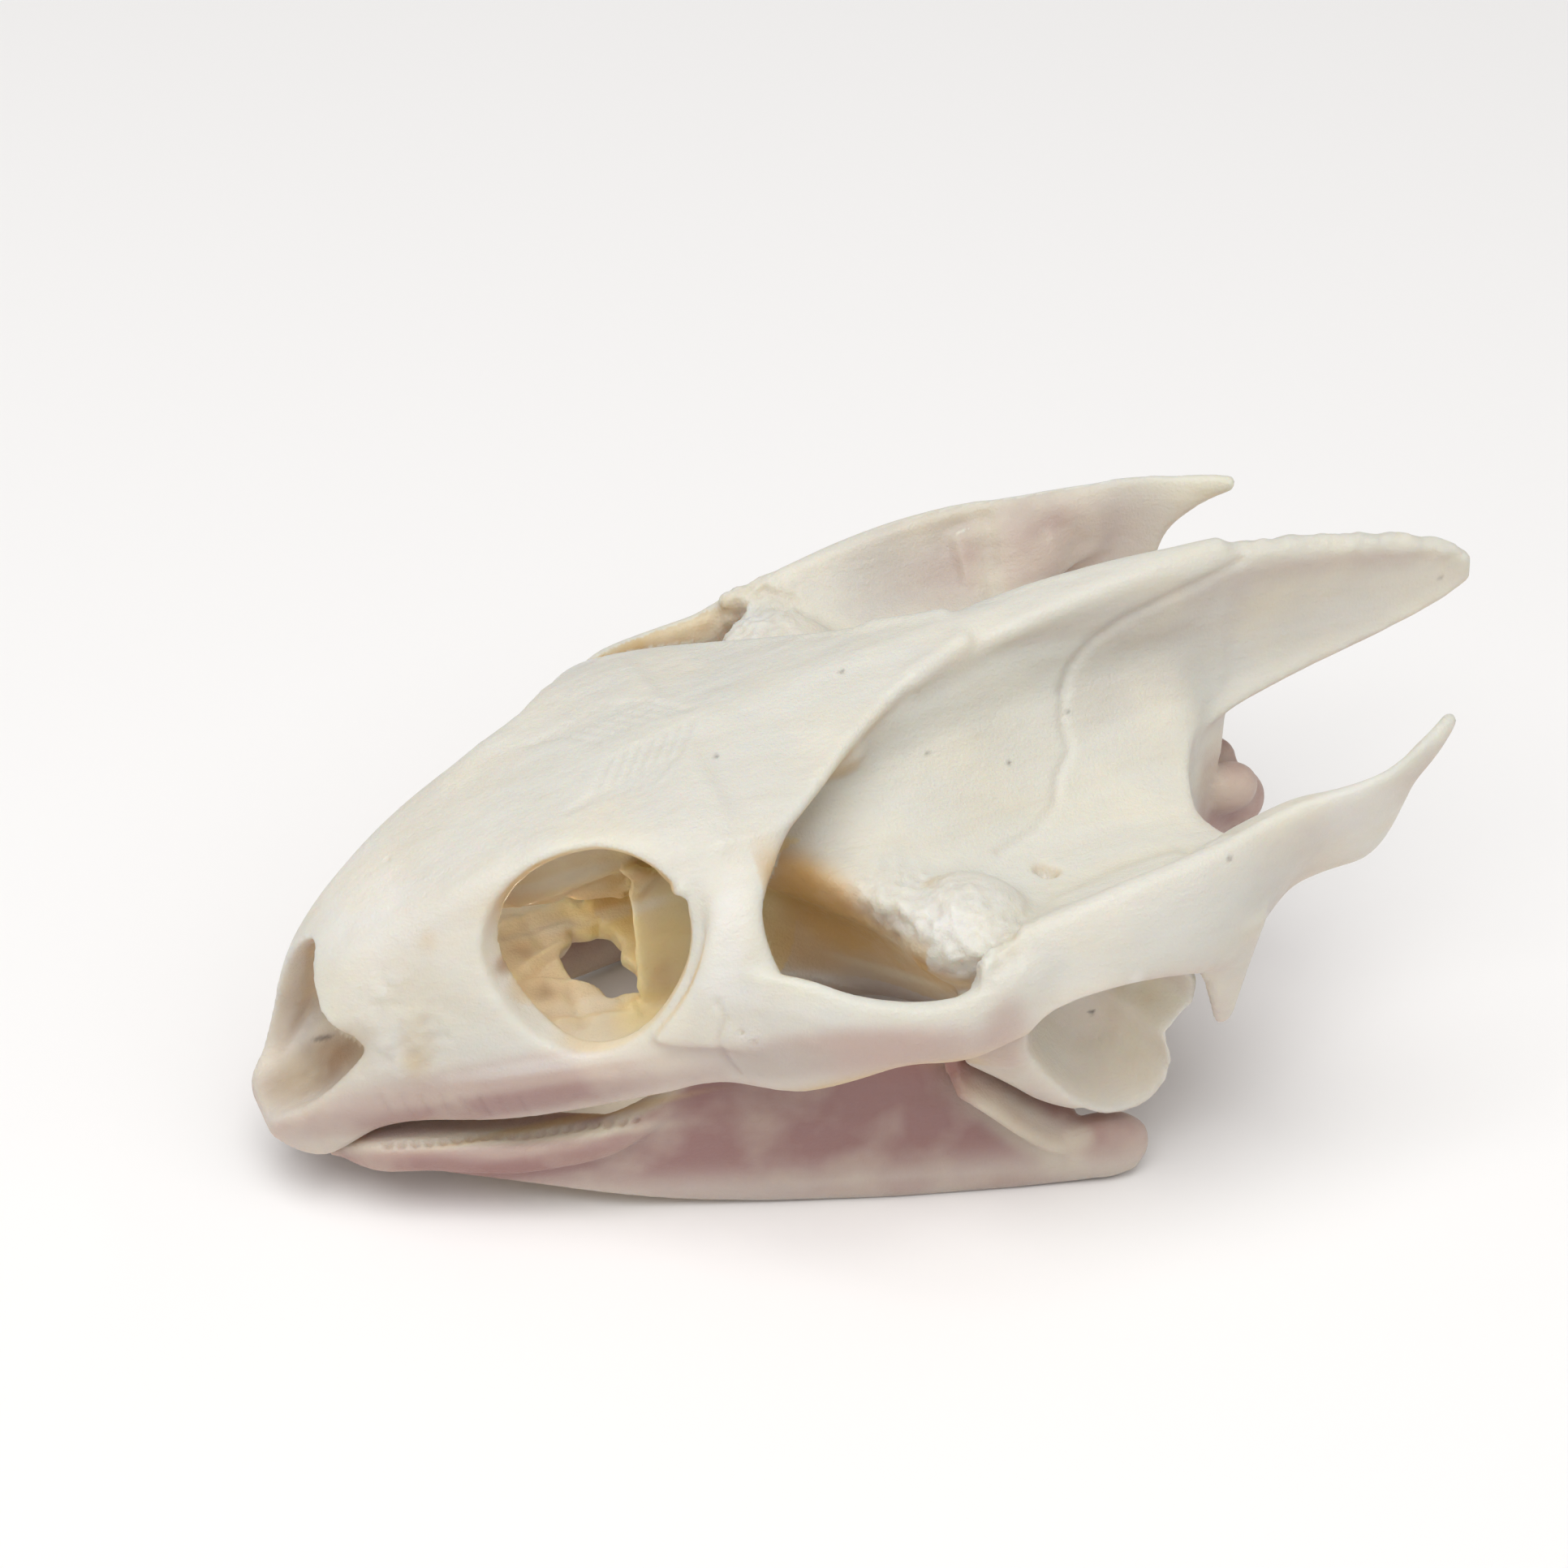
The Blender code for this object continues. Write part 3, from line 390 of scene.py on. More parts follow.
def squamosal(side=1):
    """The bone behind the cheek, which runs back into a long curved prong."""
    return blade("squamosal", [
        ((64, 34, 35.4), (63, 36.4, 26.4), 2.8), ((70, 33, 37.4), (70, 36.2, 27.6), 3.6),
        ((78, 33, 39.4), (78, 36.8, 29.8), 4), ((85, 33, 40.8), (85, 36.6, 29.4), 4),
        ((91, 32.6, 41.8), (91, 34.4, 28), 3.4), ((95.4, 31.6, 42.3), (95.6, 31, 29.4), 2.8),
        ((100, 31, 42.7), (99.6, 28.8, 30.8), 2.4), ((105, 30.5, 42.8), (104, 28, 31.2), 2.2),
        ((108.8, 29.9, 43.2), (108.4, 27.2, 30.9), 2), ((112, 28.6, 43.5), (111, 26.6, 32.6), 1.9),
        ((113.8, 27.6, 43.6), (112.7, 26.4, 37.2), 1.9), ((116.6, 26, 44), (116.2, 25.6, 40.4), 1.8),
        ((119.2, 24.2, 44.2), (119.2, 23.8, 42.6), 1.6),
    ], side=side)


def ear_web(side=1):
    """The slope from the squamosal's inner face down into the ear block."""
    return blade("ear_web", [
        ((89, 31, 39.4), (89, 25, 32.6), 1.6), ((95, 30.8, 41), (95, 24, 33.6), 2.4),
        ((99.5, 30.4, 42), (99.5, 25.6, 34.6), 3), ((104, 30, 42.2), (104, 27.4, 35), 2.2),
        ((109, 29.6, 42.6), (108.4, 28.4, 36), 1.4)], side=side)


def inner_wall(side=1):
    """The thin wall behind the eye room, from the braincase down to the palate."""
    return blade("inner_wall", [
        ((38.6, 6.2, 34), (39.6, 8.8, 16.4), 1.8), ((45, 8.2, 33), (45, 9.4, 15.8), 1.8),
        ((50, 9.2, 30), (50, 10, 15.8), 1.8)], side=side)


def spur(side=1):
    """The point that hangs behind the ear."""
    return blade("spur", [((85, 35.4, 32), (95, 33.6, 33), 2.6), ((88, 34.8, 26), (93.4, 33.4, 27), 2.2),
                          ((90.2, 33.6, 19.8), (92, 33.2, 20.6), 1.6)], side=side)


def cheek_bar(side=1):
    """The bar under the temple, from the eye socket to the ear."""
    return blade("cheek_bar", [
        ((43, 25.4, 34), (42, 25.6, 20.6), 2.6), ((48, 29.6, 34.2), (47.4, 29.8, 20.8), 2.8),
        ((52, 32.6, 33.2), (52, 32.4, 22.8), 3), ((57, 34.6, 32.4), (56.4, 34.8, 25.4), 3.2),
        ((62, 35.6, 32.6), (62.4, 35.8, 25.2), 3.2), ((67, 35.2, 35), (68, 36, 26.6), 3.4),
        ((72, 34.4, 36), (72, 35.8, 27), 3)], side=side)


def eye_bar(side=1):
    """The bar behind the eye socket, from the roof to the cheek."""
    return blade("eye_bar", [
        ((40, 14.8, 41.4), (54, 14, 42.4), 2.6), ((41.6, 18.6, 39.4), (49.4, 19, 40), 2.4),
        ((41, 22.2, 36.2), (46.4, 23.4, 37), 2.4), ((38.4, 23.8, 31), (47.4, 27.6, 32), 2.6),
        ((35, 23, 25.4), (51, 31, 25.6), 2.6)], side=side)


def ear_funnel(name, steps, side):
    """A funnel inside the ear's rim, as steps of (how far out from the rim, size against the rim)."""
    middle = sum((Vector(p) for p in EAR_RIM), Vector()) / len(EAR_RIM)
    rings = []
    for reach, grow in steps:
        ring = [middle + (Vector(p) - middle) * grow + Vector((0, reach, 0)) for p in EAR_RIM]
        ring = spline([at(p.x, p.y, p.z) for p in ring], 36, closed=True)
        rings.append([Vector((p.x, p.y * side, p.z)) for p in ring])
    return loft(name, rings)


def quadrate(side=1):
    """The bone that flares into the cup of the ear."""
    return ear_funnel("quadrate", ((-15, 0.4), (-10, 0.66), (-5, 0.86), (0, 1)), side)


def ear_front(side=1):
    """The wall of the quadrate in front of the cup, from the cheek bar down to the jaw."""
    wall = blade("ear_wall", [
        ((64.6, 31.4, 27), (65, 29.4, 19.4), 3), ((69, 31.4, 25), (69.2, 29.6, 16), 3.2),
        ((73, 31, 20), (73.2, 29.4, 12.4), 3.2), ((77.6, 30.4, 15), (77.4, 29.2, 9.8), 2.8)], side=side)
    return joined("ear_front", [wall, bulb("ear_swelling", (70, 30, 24), (6.6, 4, 5.6), side=side)])


def ear_stalk(side=1):
    """The knuckle of the quadrate, over the jaw joint."""
    return bulb("ear_stalk", (81.2, 27, 13.2), (5, 4.4, 4.8), side=side)


def ear_cup(side=1):
    steps = ((-8.5, 0.3), (-7.6, 0.5), (-4.5, 0.72), (-1, 0.86), (0.6, 0.95), (5, 1.2))
    return ear_funnel("ear_cup", steps, side)


def condyle():
    """The three-lobed knob that the neck turns on."""
    return [bulb("condyle", (107.8, 0, 20.6), (4.4, 3.8, 3.6)),
            bulb("neck_root", (101.4, 0, 20), (7, 5, 4.6)),
            bulb("condyle_left", (106.4, 2.6, 24), (3.6, 2.6, 2.8)),
            bulb("condyle_right", (106.4, -2.6, 24), (3.6, 2.6, 2.8))]


def jaw_side(side=1):
    """One half of the lower jaw, from the beak to the joint under the ear."""
    return blade("jaw_side", [
        ((8, 4.8, 7), (8, 4.4, 5.6), 2.6), ((11.3, 7.6, 9.2), (11.3, 6.6, 5.6), 2.8),
        ((16, 10, 9.7), (16, 9.2, 4.9), 2.8),
        ((25.3, 14, 9.9), (25, 13, 3.4), 2.8), ((32.6, 17.3, 12.6), (33, 16.6, 2.2), 2.8),
        ((38.4, 19.4, 16.6), (40, 18.8, 1), 3), ((44, 20.4, 21), (47, 21, 0.4), 3.4),
        ((53, 22.4, 20), (54, 23.2, 0.2), 3.2), ((60, 24, 17.4), (60, 25, 0.1), 3),
        ((67.4, 25.6, 14.8), (68, 27, 0.1), 3.2), ((72.4, 27, 10.4), (74, 28.4, 0.2), 3.4),
        ((77.6, 28.8, 5.4), (80, 29.4, 0.4), 3.6), ((83.6, 30, 5.6), (84.2, 30, 1), 3.6),
    ], side=side)


def jaw_front():
    """The spade at the front of the lower jaw, where its halves meet."""
    rings = []
    for back in np.linspace(4.6, 24, 16):
        out = JAW_OUT(back) - 2.8
        low = 5 - (back - 4) * 0.12
        top = min(PALATE_UP(back) - 3, 8.4)
        half = [(0, top), (out * 0.6, top), (out, top - 0.4), (out - 0.3, low + 1), (out * 0.5, low),
                (0, low)]
        rings.append(mirrored_ring(back, half))
    return loft("jaw_front", rings)


def jaw_rail(side=1):
    """The thick rim of the lower jaw that the beak closes on, and the table inside it."""
    rim = [((8.2, 4.6, 7.4), (8.2, 4.2, 5.2), 1.4)]
    rim += [((b, o + 1.6, u + 0.2), (b, o + 1.4, u - 3.4), 2.6) for b, o, u in JAW_EDGE[:-1]]
    b, o, u = JAW_EDGE[-1]
    rim.append(((b, o + 0.4, u - 0.6), (b + 0.6, o + 0.2, u - 3), 1.6))
    table = [((b, o, u - 0.8), (b, max(o - 7, 0.4 * o - 2.4), u - 2.6), 2.2) for b, o, u in JAW_EDGE[:-2]]
    b, o, u = JAW_EDGE[-2]
    table.append(((b, o, u - 0.8), (b, o - 1.6, u - 2), 1.8))
    return joined("jaw_rail", [blade("jaw_rail", rim, side=side), blade("jaw_table", table, side=side)])


def jaw_shelf(side=1):
    """The scooped shelf on the outer face of the jaw, before its joint."""
    line = [(64.4, 19, 16.4), (67.6, 16.6, 13.2), (71.4, 12.8, 9.2), (75, 10, 6.2), (78.4, 7.8, 5.2)]
    scoop = blade("jaw_shelf", [((b, 26.4, top), (b, 29.6, low), 1.8) for b, top, low in line], side=side)
    lip = blade("shelf_lip", [((b, 29.2, low + 1), (b, 30.4, low - 0.8), 1.5) for b, top, low in line],
                side=side)
    return joined("jaw_shelf", [scoop, lip])


def jaw_joint(side=1):
    """The block at the back of the jaw that the skull rests on."""
    return blade("jaw_joint", [
        ((76.6, 29.2, 7.2), (76.8, 28.4, 1), 4), ((80.4, 29.4, 7.4), (80.6, 28.8, 0.2), 5.2),
        ((83.6, 29.6, 6.8), (83.4, 29.2, 0.6), 4.8), ((85.4, 29.4, 5.4), (85.2, 29.2, 2), 2.8),
    ], side=side)


def eye_socket(side=1):
    """The opening of the eye socket, a rounded prism across the cheek."""
    rim = [(33.2, 12.2, 41.6), (37.8, 15.4, 40.4), (40.2, 19.6, 37.2), (38.6, 22.8, 32), (34, 22, 25),
           (28, 19.8, 22.2), (22.8, 16.6, 25), (19.6, 13.2, 31.6), (21.8, 11.2, 37), (27, 10.6, 40)]
    outward = Vector((0.28, 0.86, 0.42)).normalized() * UNIT
    rings = []
    for reach, grow, lean in ORBIT_STEPS:
        edge = [at(*p) for p in rim]
        middle = sum(edge, Vector()) / len(edge)
        push = outward * reach - Vector((lean * UNIT, 0, 0))
        ring = [middle + (p - middle) * grow + push for p in spline(edge, 32, closed=True)]
        rings.append([Vector((p.x, p.y * side, p.z)) for p in ring])
    return loft("eye_socket", rings)


def nostril():
    """The opening of the nose, which slants up and back, and is broken further back on the left."""
    rim = [(7.1, 0, 28.4), (6.3, 2.4, 26.4), (5.7, 4.2, 24.6), (7.6, 6, 22.8), (11.8, 8.4, 21.6),
           (10.8, 8.2, 19.2), (7.4, 6.6, 14.8), (4.4, 3.8, 11.6), (3.2, 0, 10.8), (3, -3.4, 11),
           (3.2, -5.4, 13), (4, -6, 16.4), (5, -5.4, 19.8), (6.1, -4.4, 22.6), (7, -2.4, 26)]
    forward = Vector((0.98, 0, -0.15)).normalized() * UNIT
    rings = []
    for reach, grow in ((-5, 0.92), (-2, 0.97), (1, 1.02), (8, 1.4)):
        edge = [at(*p) for p in rim]
        middle = sum(edge, Vector()) / len(edge)
        rings.append([middle + (p - middle) * grow + forward * reach for p in spline(edge, 32, closed=True)])
    return loft("nostril", rings)


def prism(name, outline, inner, outer):
    """A block whose side outline is given as (back, up), from inner to outer distance out.

    inner and outer are each (at the front, per unit further back).
    """
    return loft(name, [
        [at(back, start + slope * back, up) for back, up in outline]
        for start, slope in (inner, outer)
    ])


def largest(thing):
    """Drops every loose piece but the one with the most faces."""
    mesh = bmesh.new()
    mesh.from_mesh(thing.data)
    seen, groups = set(), []
    for face in mesh.faces:
        if face in seen:
            continue
        group, edge = [], [face]
        seen.add(face)
        while edge:
            here = edge.pop()
            group.append(here)
            for e in here.edges:
                for f in e.link_faces:
                    if f not in seen:
                        seen.add(f)
                        edge.append(f)
        groups.append(group)
    groups.sort(key=len)
    for group in groups[:-1]:
        bmesh.ops.delete(mesh, geom=group, context="FACES")
    mesh.to_mesh(thing.data)
    mesh.free()
    return thing


# What stands below the flats that the jaw rests on, as in the frame.
UNDER_FLATS = ([(-20, -20), (150, -20), (150, 0.5), (-20, 0.5)], (-80, 0), (80, 0))


def cranium():
    """The whole skull above the lower jaw."""
    head = fused("head", [face()], 2)
    openings = [face_hollow(), nostril(), inner_nostril(), *both_sides(eye_socket), *both_sides(chewing_gap)]
    head = carved(head, openings)
    block = carved(fused("ear_block", [ear_block(), *both_sides(trochlear_lump)], 10), both_sides(rear_bay))
    pieces = [head, block, crest(), *condyle()]
    for paired in (brow, squamosal, spur, cheek_bar, eye_bar, inner_wall, ear_web, quadrate, ear_front,
                   ear_stalk):
        pieces += both_sides(paired)
    head = carved(fused("cranium", pieces, 3), both_sides(ear_cup))
    return fused("cranium", [head], 4)


def lower_jaw():
    """The lower jaw, with its joints."""
    pieces = [jaw_front()]
    for paired in (jaw_side, jaw_rail, jaw_shelf, jaw_joint):
        pieces += both_sides(paired)
    return fused("lower_jaw", pieces, 3)


def settled(bones):
    """Centres the skull over the origin, standing on the floor."""
    corners = [v.co for bone in bones for v in bone.data.vertices]
    low = [min(p[k] for p in corners) for k in range(3)]
    high = [max(p[k] for p in corners) for k in range(3)]
    shift = Vector((-(low[0] + high[0]) / 2, -(low[1] + high[1]) / 2, -low[2]))
    for bone in bones:
        bone.data.transform(Matrix.Translation(shift))
    return shift


# The photograph's camera, in skull units from the snout's place on the floor.
PHOTO = 1932
CAMERA_TURN = 68.13
CAMERA_RISE = 34.98
CAMERA_ROLL = 0.67
CAMERA_AWAY = 420.4
CAMERA_LENS = 96.52
SENSOR = 36                # the camera's sensor is this wide, in the unit of its lens
CAMERA_AIM = (57.69, 0, 34.74)


def camera_matrix(shift):
    """The camera's place and turn, with the skull moved by shift."""
    turn, rise, roll = (math.radians(a) for a in (CAMERA_TURN, CAMERA_RISE, CAMERA_ROLL))
    back = Vector((math.cos(rise) * math.cos(turn), math.cos(rise) * math.sin(turn), math.sin(rise)))
    right = (-back).cross(Vector((0, 0, 1))).normalized()
    up = right.cross(-back)
    across = right * math.cos(roll) + up * math.sin(roll)
    above = up * math.cos(roll) - right * math.sin(roll)
    place = at(*CAMERA_AIM) + shift + back * CAMERA_AWAY * UNIT
    return Matrix((
        (across.x, above.x, back.x, place.x),
        (across.y, above.y, back.y, place.y),
        (across.z, above.z, back.z, place.z),
        (0, 0, 0, 1),
    ))


# The colours of the bone, and of the painted shade, painted pink reflection and painted light laid on it.
TONE = 0.87                # how light the bone is under these lights
WHITE_BONE = (0.80, 0.785, 0.715)
CHALK = (0.88, 0.87, 0.83)
# The next colour is painted light, laid over the shade in the ear's cup.
WARM_WHITE_LIGHT = (1.0, 0.93, 0.83)
IVORY = (0.78, 0.73, 0.60)
STRAW = (0.92, 0.78, 0.44)
OCHRE = (0.70, 0.52, 0.27)
TAN = (0.76, 0.64, 0.45)
HONEY = (0.66, 0.41, 0.15)
# The next colour is mostly painted shade, deep in the nose and on the far side.
BROWN = (0.32, 0.18, 0.08)
# The three pinks that follow are painted pink reflection and painted pink shade on low and down-facing faces.
ROSE_REFLECTION = (0.52, 0.36, 0.32)
DEEP_ROSE_SHADE = (0.37, 0.20, 0.19)
BLUSH_SHADE = (0.64, 0.50, 0.44)
# The next colour is mostly painted shade, on the far side and on the cheek.
PUTTY = (0.60, 0.54, 0.48)
# The next colour marks real specks of dust, and is also painted deep shadow in gaps.
DUST_AND_GAP_SHADOW = (0.12, 0.10, 0.09)
STREAKED = (0.93, 0.90, 0.84)   # what the fine streaks multiply the tint by


# Lines and spots on the bone, as the photograph shows them.
CREST_SEAM = [(1530, 690), (1430, 740), (1380, 765), (1345, 790), (1320, 820), (1310, 850)]
WALL_SEAM = [(1310, 850), (1308, 890), (1318, 925), (1303, 955), (1300, 990), (1275, 1020), (1230, 1050)]
EAR_GROOVE = [(1240, 1165), (1265, 1130), (1300, 1100), (1370, 1068), (1450, 1042), (1530, 1022)]
CHEEK_SEAM = [(884, 1235), (894, 1256), (886, 1280), (892, 1300), (910, 1322)]
BEAK_STREAKS = [[(x, 1352), (x + 14, 1374)] for x in range(470, 760, 24)]
BROW_LINE = [(1130, 838), (1170, 818), (1250, 775), (1330, 736), (1420, 702), (1500, 678)]
CREST_EDGE = [(1480, 672), (1560, 664), (1640, 658), (1700, 660), (1760, 672), (1795, 690)]
SOCKET_FOLDS = [[(622, 1138), (700, 1112), (790, 1094), (840, 1096)], [(640, 1112), (700, 1090), (780, 1072)],
                [(650, 1190), (690, 1165), (740, 1150)]]
FAR_HOLLOWS = [(1212, 680), (1292, 646), (1330, 676)]
ROOF_STREAKS = [[(700 + 17 * k, 1000 - 6 * k), (735 + 17 * k, 975 - 8 * k), (752 + 17 * k, 935 - 8 * k)]
                for k in range(7)]
SNOUT_ROUGH = [(480, 1240), (520, 1270), (500, 1300)]
KNOBBLY = [(1120, 1105), (1160, 1130), (1205, 1150)]
EAR_HOLE = (1285, 1070)
SNOUT_SPOTS = [(527, 1160), (510, 1310), (640, 1165)]
PINHOLES = [(478, 1058), (930, 1285), (915, 1272)]
SPECKS = [(1037, 828), (1130, 850), (882, 932), (1143, 928), (1243, 940), (1315, 877),
          (1515, 1058), (1775, 712)]
RIM_PITS = [(x, 1404 + 6 * math.sin(x / 60) - max(0, x - 660) * 0.22) for x in range(478, 800, 17)]

# Grooves as (line, width, depth) in skull units. A depth below nothing is a ridge.
GROOVES = ((CREST_SEAM, 0.6, 0.45), (WALL_SEAM, 0.5, 0.28), (BROW_LINE, 1.3, -0.6), (EAR_GROOVE, 0.9, 0.3),
           (CHEEK_SEAM, 0.35, 0.3))

# Patches of colour, as (centre, size, turn, colour, strength) on the photograph: tones and stains of the
# bone, painted shade, painted pink reflection and painted light, as each list says.
# The eye room's ochre, tan, straw and brown tones, with paler streaks.
SOCKET_TONES = [
    ((735, 1095), (130, 36), -12, OCHRE, 0.95), ((700, 1082), (60, 10), -16, IVORY, 0.8),
    ((790, 1078), (50, 8), -8, HONEY, 0.6), ((650, 1150), (34, 22), -20, TAN, 0.8),
    ((745, 1128), (110, 9), -14, CHALK, 0.6), ((632, 1184), (24, 14), -30, BROWN, 0.8),
    ((648, 1214), (22, 26), 20, TAN, 0.8), ((826, 1170), (26, 80), 8, STRAW, 0.95),
    ((812, 1215), (16, 34), 20, OCHRE, 0.5), ((735, 1275), (110, 30), -12, IVORY, 0.7),
    ((790, 1245), (40, 26), -35, STRAW, 0.8),
]
# The temple's inner wall in honey and tan with paler bands, and painted deep shadow in the gap at its foot.
TEMPLE_TONES_AND_SHADOW = [
    ((1000, 1100), (80, 40), 35, HONEY, 0.95), ((1000, 1160), (70, 44), 10, HONEY, 0.7),
    ((1100, 1175), (110, 26), 22, HONEY, 0.8), ((1090, 1196), (70, 6), 16, TAN, 0.8),
    ((1150, 1180), (60, 5), 24, TAN, 0.7), ((1020, 1214), (44, 14), 16, CHALK, 0.8),
    ((1204, 1217), (24, 12), -20, DUST_AND_GAP_SHADOW, 0.9),
]
# Painted shade and painted pink reflection on the far side's inward faces, with ochre shade in the slot
# behind the far cheek bar.
FAR_SIDE_SHADE_AND_REFLECTION = [
    ((800, 800), (120, 30), -30, OCHRE, 0.9), ((810, 800), (90, 14), -30, BROWN, 0.25),
    ((850, 775), (40, 22), -30, OCHRE, 0.4), ((1230, 690), (210, 90), -14, PUTTY, 1.0),
    ((1250, 680), (130, 50), -14, BLUSH_SHADE, 0.6), ((1212, 680), (30, 12), -10, ROSE_REFLECTION, 0.4),
    ((1292, 646), (34, 12), -24, ROSE_REFLECTION, 0.3), ((1330, 672), (30, 8), 40, BLUSH_SHADE, 0.4),
]
# On the outer faces: painted pink shade under the beak and the cheek, in front of the ear's cup and on the
# knob of the neck, painted light in the ear's cup, and paler and darker tones of the bone elsewhere.
OUTER_TONES_SHADE_AND_LIGHT = [
    ((620, 1340), (240, 34), -9, BLUSH_SHADE, 1.0), ((640, 1358), (220, 16), -9, DEEP_ROSE_SHADE, 0.65),
    ((515, 1290), (22, 40), 0, OCHRE, 0.3), ((430, 1385), (110, 18), -4, ROSE_REFLECTION, 0.4),
    ((1060, 1295), (170, 28), -4, BLUSH_SHADE, 1.0), ((960, 1310), (70, 24), -4, PUTTY, 0.7),
    ((1238, 1285), (30, 56), 10, BLUSH_SHADE, 0.8),
    ((900, 1150), (26, 90), 10, CHALK, 0.8), ((960, 1235), (110, 14), 12, CHALK, 0.6),
    ((1160, 1130), (70, 30), 30, CHALK, 0.7), ((520, 1225), (90, 40), 30, IVORY, 0.6),
    ((1400, 830), (110, 50), -25, PUTTY, 0.4), ((1680, 1010), (60, 60), 0, CHALK, 0.7),
    ((1350, 1290), (80, 80), 0, WARM_WHITE_LIGHT, 0.9), ((450, 1120), (60, 60), 0, CHALK, 0.7),
    ((690, 1310), (150, 10), -8, CHALK, 0.5), ((1398, 1212), (8, 18), 25, CHALK, 0.7),
    ((1345, 1247), (4, 3), 0, DUST_AND_GAP_SHADOW, 0.8), ((1500, 990), (30, 30), 0, DEEP_ROSE_SHADE, 0.5),
    ((1250, 960), (160, 120), 0, IVORY, 0.25),
]
# Painted shade deep in the nose, and paler and darker tones of its walls.
NOSE_TONES_AND_SHADE = [
    ((388, 1314), (72, 32), -32, BROWN, 0.85), ((352, 1240), (30, 60), 20, PUTTY, 0.5),
    ((398, 1279), (14, 3), -12, DUST_AND_GAP_SHADOW, 0.8), ((352, 1190), (22, 40), 20, CHALK, 0.5),
]
# Painted shade and painted pink reflection on the jaw, with its lit rim and lip painted pale, and an ochre
# line in the gap under the beak.
JAW_PAINTED_LIGHT_AND_SHADE = [
    ((520, 1440), (170, 18), 3, DEEP_ROSE_SHADE, 0.7), ((690, 1432), (130, 14), -8, DEEP_ROSE_SHADE, 0.75),
    ((850, 1372), (60, 22), -38, DEEP_ROSE_SHADE, 0.8), ((620, 1400), (190, 11), -4, IVORY, 0.85),
    ((790, 1362), (80, 12), -30, IVORY, 0.8), ((1150, 1462), (160, 12), -3, ROSE_REFLECTION, 0.5),
    ((1262, 1386), (84, 30), 34, IVORY, 0.7), ((1330, 1400), (20, 16), 20, IVORY, 0.5),
    ((700, 1380), (160, 5), -12, OCHRE, 0.7),
]


# How far off the skin a point is tried for being in view, in skull units: along its normal, and
# then towards the camera.
OFF_THE_SKIN = 0.7
ON_THE_WAY = 1
PATCH_REACH = 2.4          # where an oval stain ends, as the square of its size
MIDDLE_UP = 28             # how high the middle of the rooms in the skull is, in skull units


